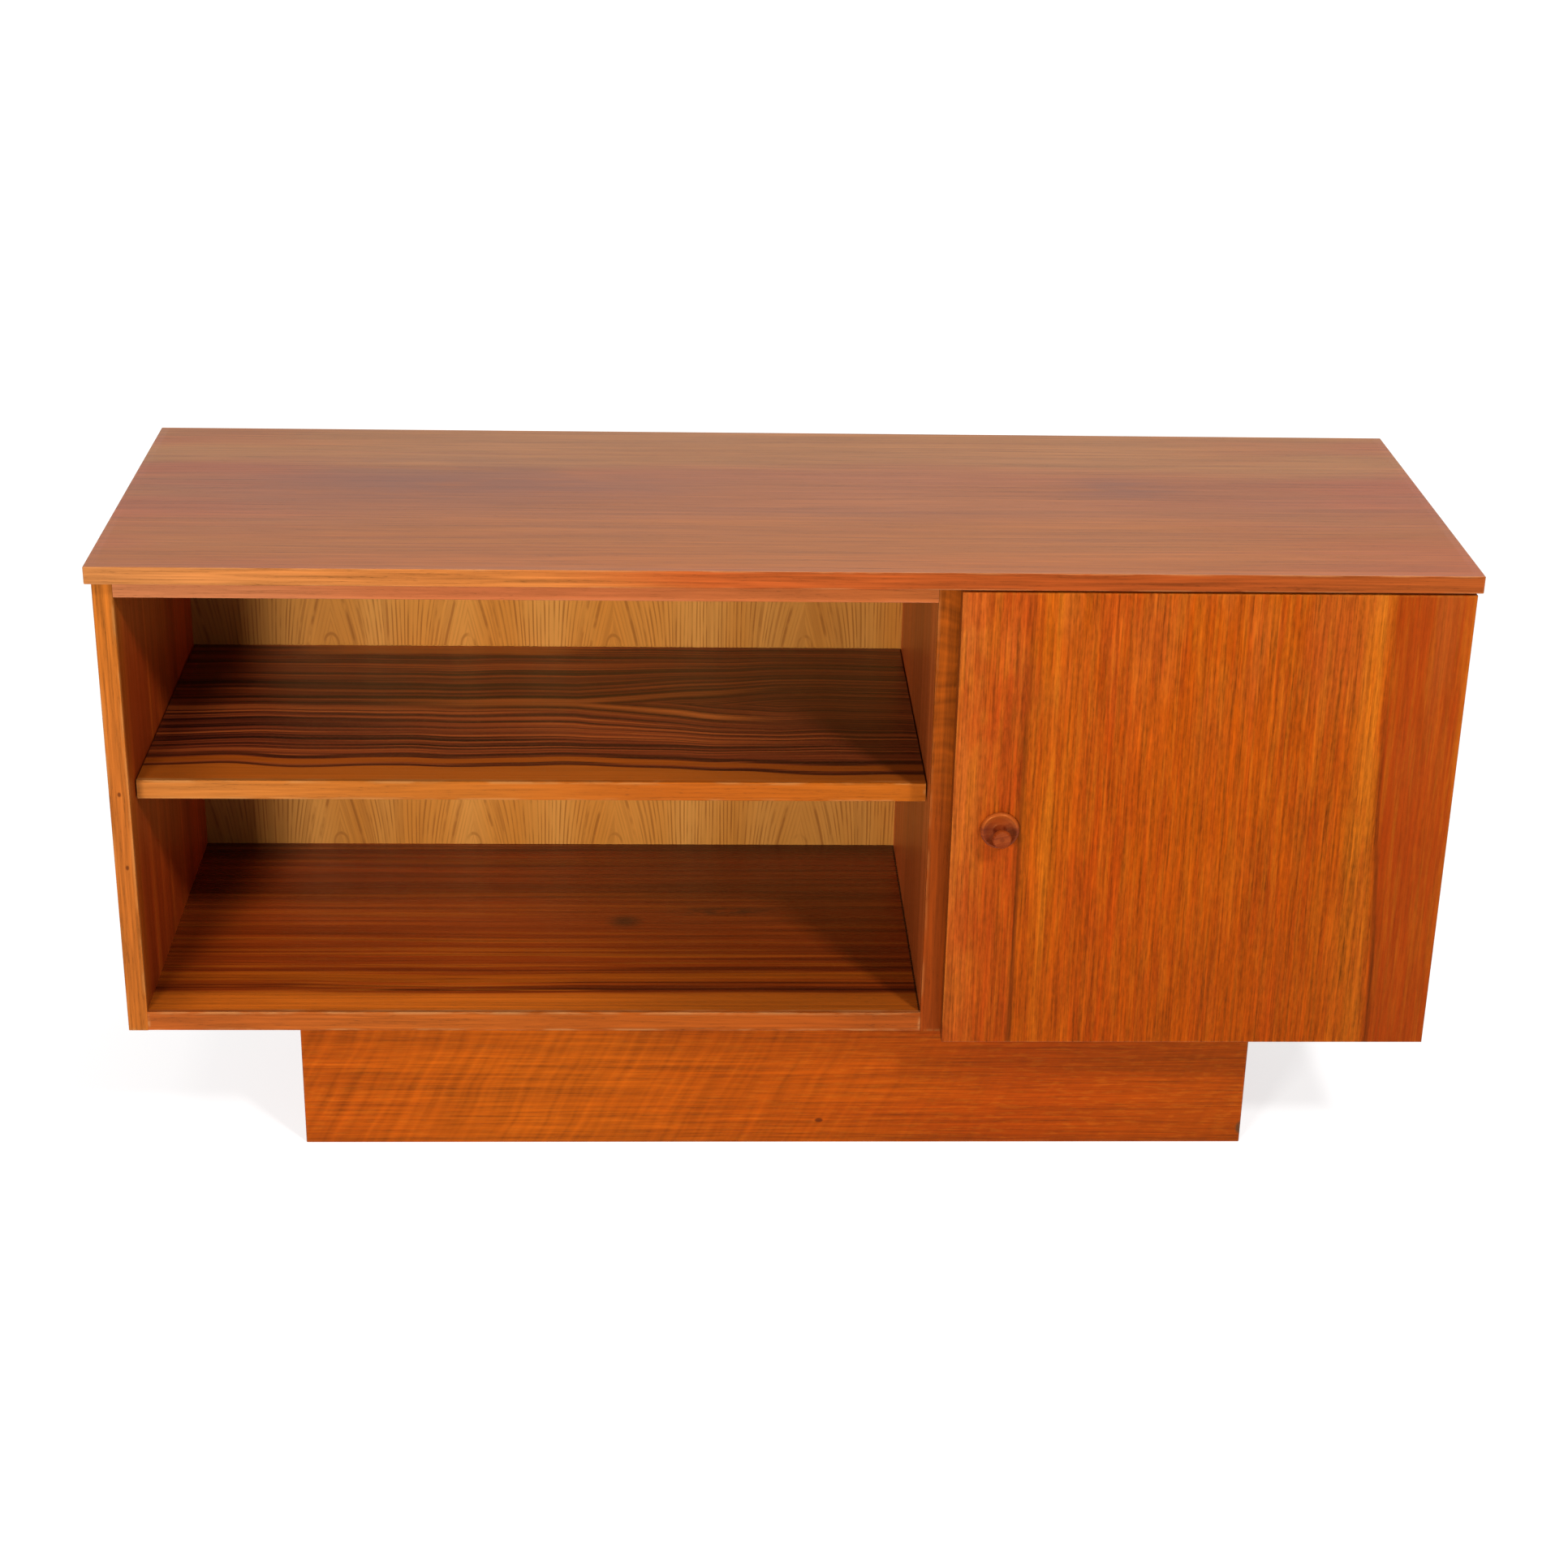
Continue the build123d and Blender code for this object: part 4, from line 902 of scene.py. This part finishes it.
brass = metal("brass", (206, 160, 84), 0.28)
steel = metal("zinc_plated_steel", (186, 186, 182), 0.32, dull=(120, 118, 112))
BRASS_PIECES = (
    "hinge_upper_side_leaf", "hinge_upper_door_leaf", "hinge_upper_pin", "hinge_lower_side_leaf",
    "hinge_lower_door_leaf", "hinge_lower_pin", "hinge_screws_side", "hinge_screws_door",
)
STEEL_PIECES = (
    "top_screws", "cleat_screws", "back_nails", "catch_screws",
    "strike_screw", "strike_plate", "knob_screw", "catch_pole_plates",
)
for name in BRASS_PIECES:
    give(name, brass)
for name in STEEL_PIECES:
    give(name, steel)
give("catch_housing", moulded("catch_plastic", (92, 58, 38), 0.4))
give("catch_magnet", moulded("magnet", (46, 44, 44), 0.55))


# ---------------------------------------------------------------- floor, light and camera

def stage(name, mesh, material):
    """Adds a mesh that belongs to the studio, not to the cabinet."""
    holder = bpy.data.objects.new(name, mesh)
    bpy.context.scene.collection.objects.link(holder)
    mesh.materials.append(material)
    return holder


def floor():
    """A pale floor that glows a little, and more far away, so that it meets the wall white."""
    size, albedo = 30.0, 0.34
    mesh = bpy.data.meshes.new("studio_floor")
    corners = [(-size, -size, 0), (size, -size, 0), (size, size, 0), (-size, size, 0)]
    mesh.from_pydata(corners, [], [(0, 1, 2, 3)])
    r = Recipe("studio_floor")
    colour = r.shade((albedo, albedo, albedo), r.scaled(r.texture(r.rest, 2.0, 0.5, 0.8), 0.02, 0.98))
    glow = r.ease(r.vectors("LENGTH", r.rest), 1.0, 4.0, 0.74, 1.0)
    r.shader.inputs["Emission Color"].default_value = WHITE
    r.feed(r.shader.inputs["Emission Strength"], glow)
    stage("studio_floor", mesh, r.finish(colour, 0.9, specular=0.0))


def backdrop():
    """A white wall all round, far away, that only the camera sees."""
    radius, bottom, top, sides = 20.0, -0.1, 15.0, 48
    mesh = bpy.data.meshes.new("studio_backdrop")
    angles = [2 * math.pi * index / sides for index in range(sides)]
    rings = [(radius * math.cos(turn), radius * math.sin(turn), z) for z in (bottom, top) for turn in angles]
    walls = [(i, (i + 1) % sides, sides + (i + 1) % sides, sides + i) for i in range(sides)]
    mesh.from_pydata(rings, [], walls)
    r = Recipe("studio_backdrop")
    r.shader.inputs["Emission Color"].default_value = WHITE
    r.shader.inputs["Emission Strength"].default_value = 1.0
    wall = stage("studio_backdrop", mesh, r.finish(BLACK, 0.9, specular=0.0))
    wall.visible_diffuse = wall.visible_glossy = wall.visible_transmission = wall.visible_shadow = False


def area_light(name, place, target, size, power):
    """A lamp at a place, turned to a target. Its size is in metres, its power in watts."""
    lamp = bpy.data.lights.new(name, "AREA")
    lamp.shape = "RECTANGLE"
    lamp.size, lamp.size_y = size
    lamp.energy = power
    holder = bpy.data.objects.new(name, lamp)
    bpy.context.scene.collection.objects.link(holder)
    holder.location = place
    holder.rotation_euler = (Vector(target) - Vector(place)).to_track_quat("-Z", "Y").to_euler()
    holder.visible_camera = False


def camera():
    """The photograph's view: a little left of the middle, above the cabinet, looking down."""
    place = (-0.0986, -2.4681, 1.4240)
    yaw, pitch, roll = 0.0424, 0.4200, 0.0214
    forward = Vector((math.sin(yaw) * math.cos(pitch), math.cos(yaw) * math.cos(pitch), -math.sin(pitch)))
    right = Vector((math.cos(yaw), -math.sin(yaw), 0.0))
    up = right.cross(forward)
    right, up = right * math.cos(roll) + up * math.sin(roll), up * math.cos(roll) - right * math.sin(roll)
    turn = Matrix((right, up, -forward)).transposed().to_4x4()
    lens = bpy.data.cameras.new("camera")
    lens.sensor_width = 36.0
    lens.lens = 64.705
    holder = bpy.data.objects.new("camera", lens)
    bpy.context.scene.collection.objects.link(holder)
    holder.matrix_world = Matrix.Translation(place) @ turn
    bpy.context.scene.camera = holder


def surroundings():
    """Even white light from all round."""
    world = bpy.data.worlds.new("studio")
    world.use_nodes = True
    background = world.node_tree.nodes["Background"]
    background.inputs["Color"].default_value = WHITE
    background.inputs["Strength"].default_value = 0.36
    bpy.context.scene.world = world


floor()
backdrop()
area_light("key_left", (-1.15, -2.75, 1.25), (0.0, -0.1, 0.35), (0.5, 0.5), 70.0)
area_light("key_right", (1.30, -2.18, 2.41), (0.0, -0.1, 0.35), (0.32, 0.32), 66.0)
area_light("overhead", (0.0, 0.6, 3.4), (0.0, 0.2, 0.0), (3.0, 3.0), 58.0)
area_light("behind", (0.0, 4.5, 2.6), (0.0, 0.0, 0.6), (5.0, 2.4), 12.0)
camera()
surroundings()
bpy.context.scene.view_settings.view_transform = "Standard"
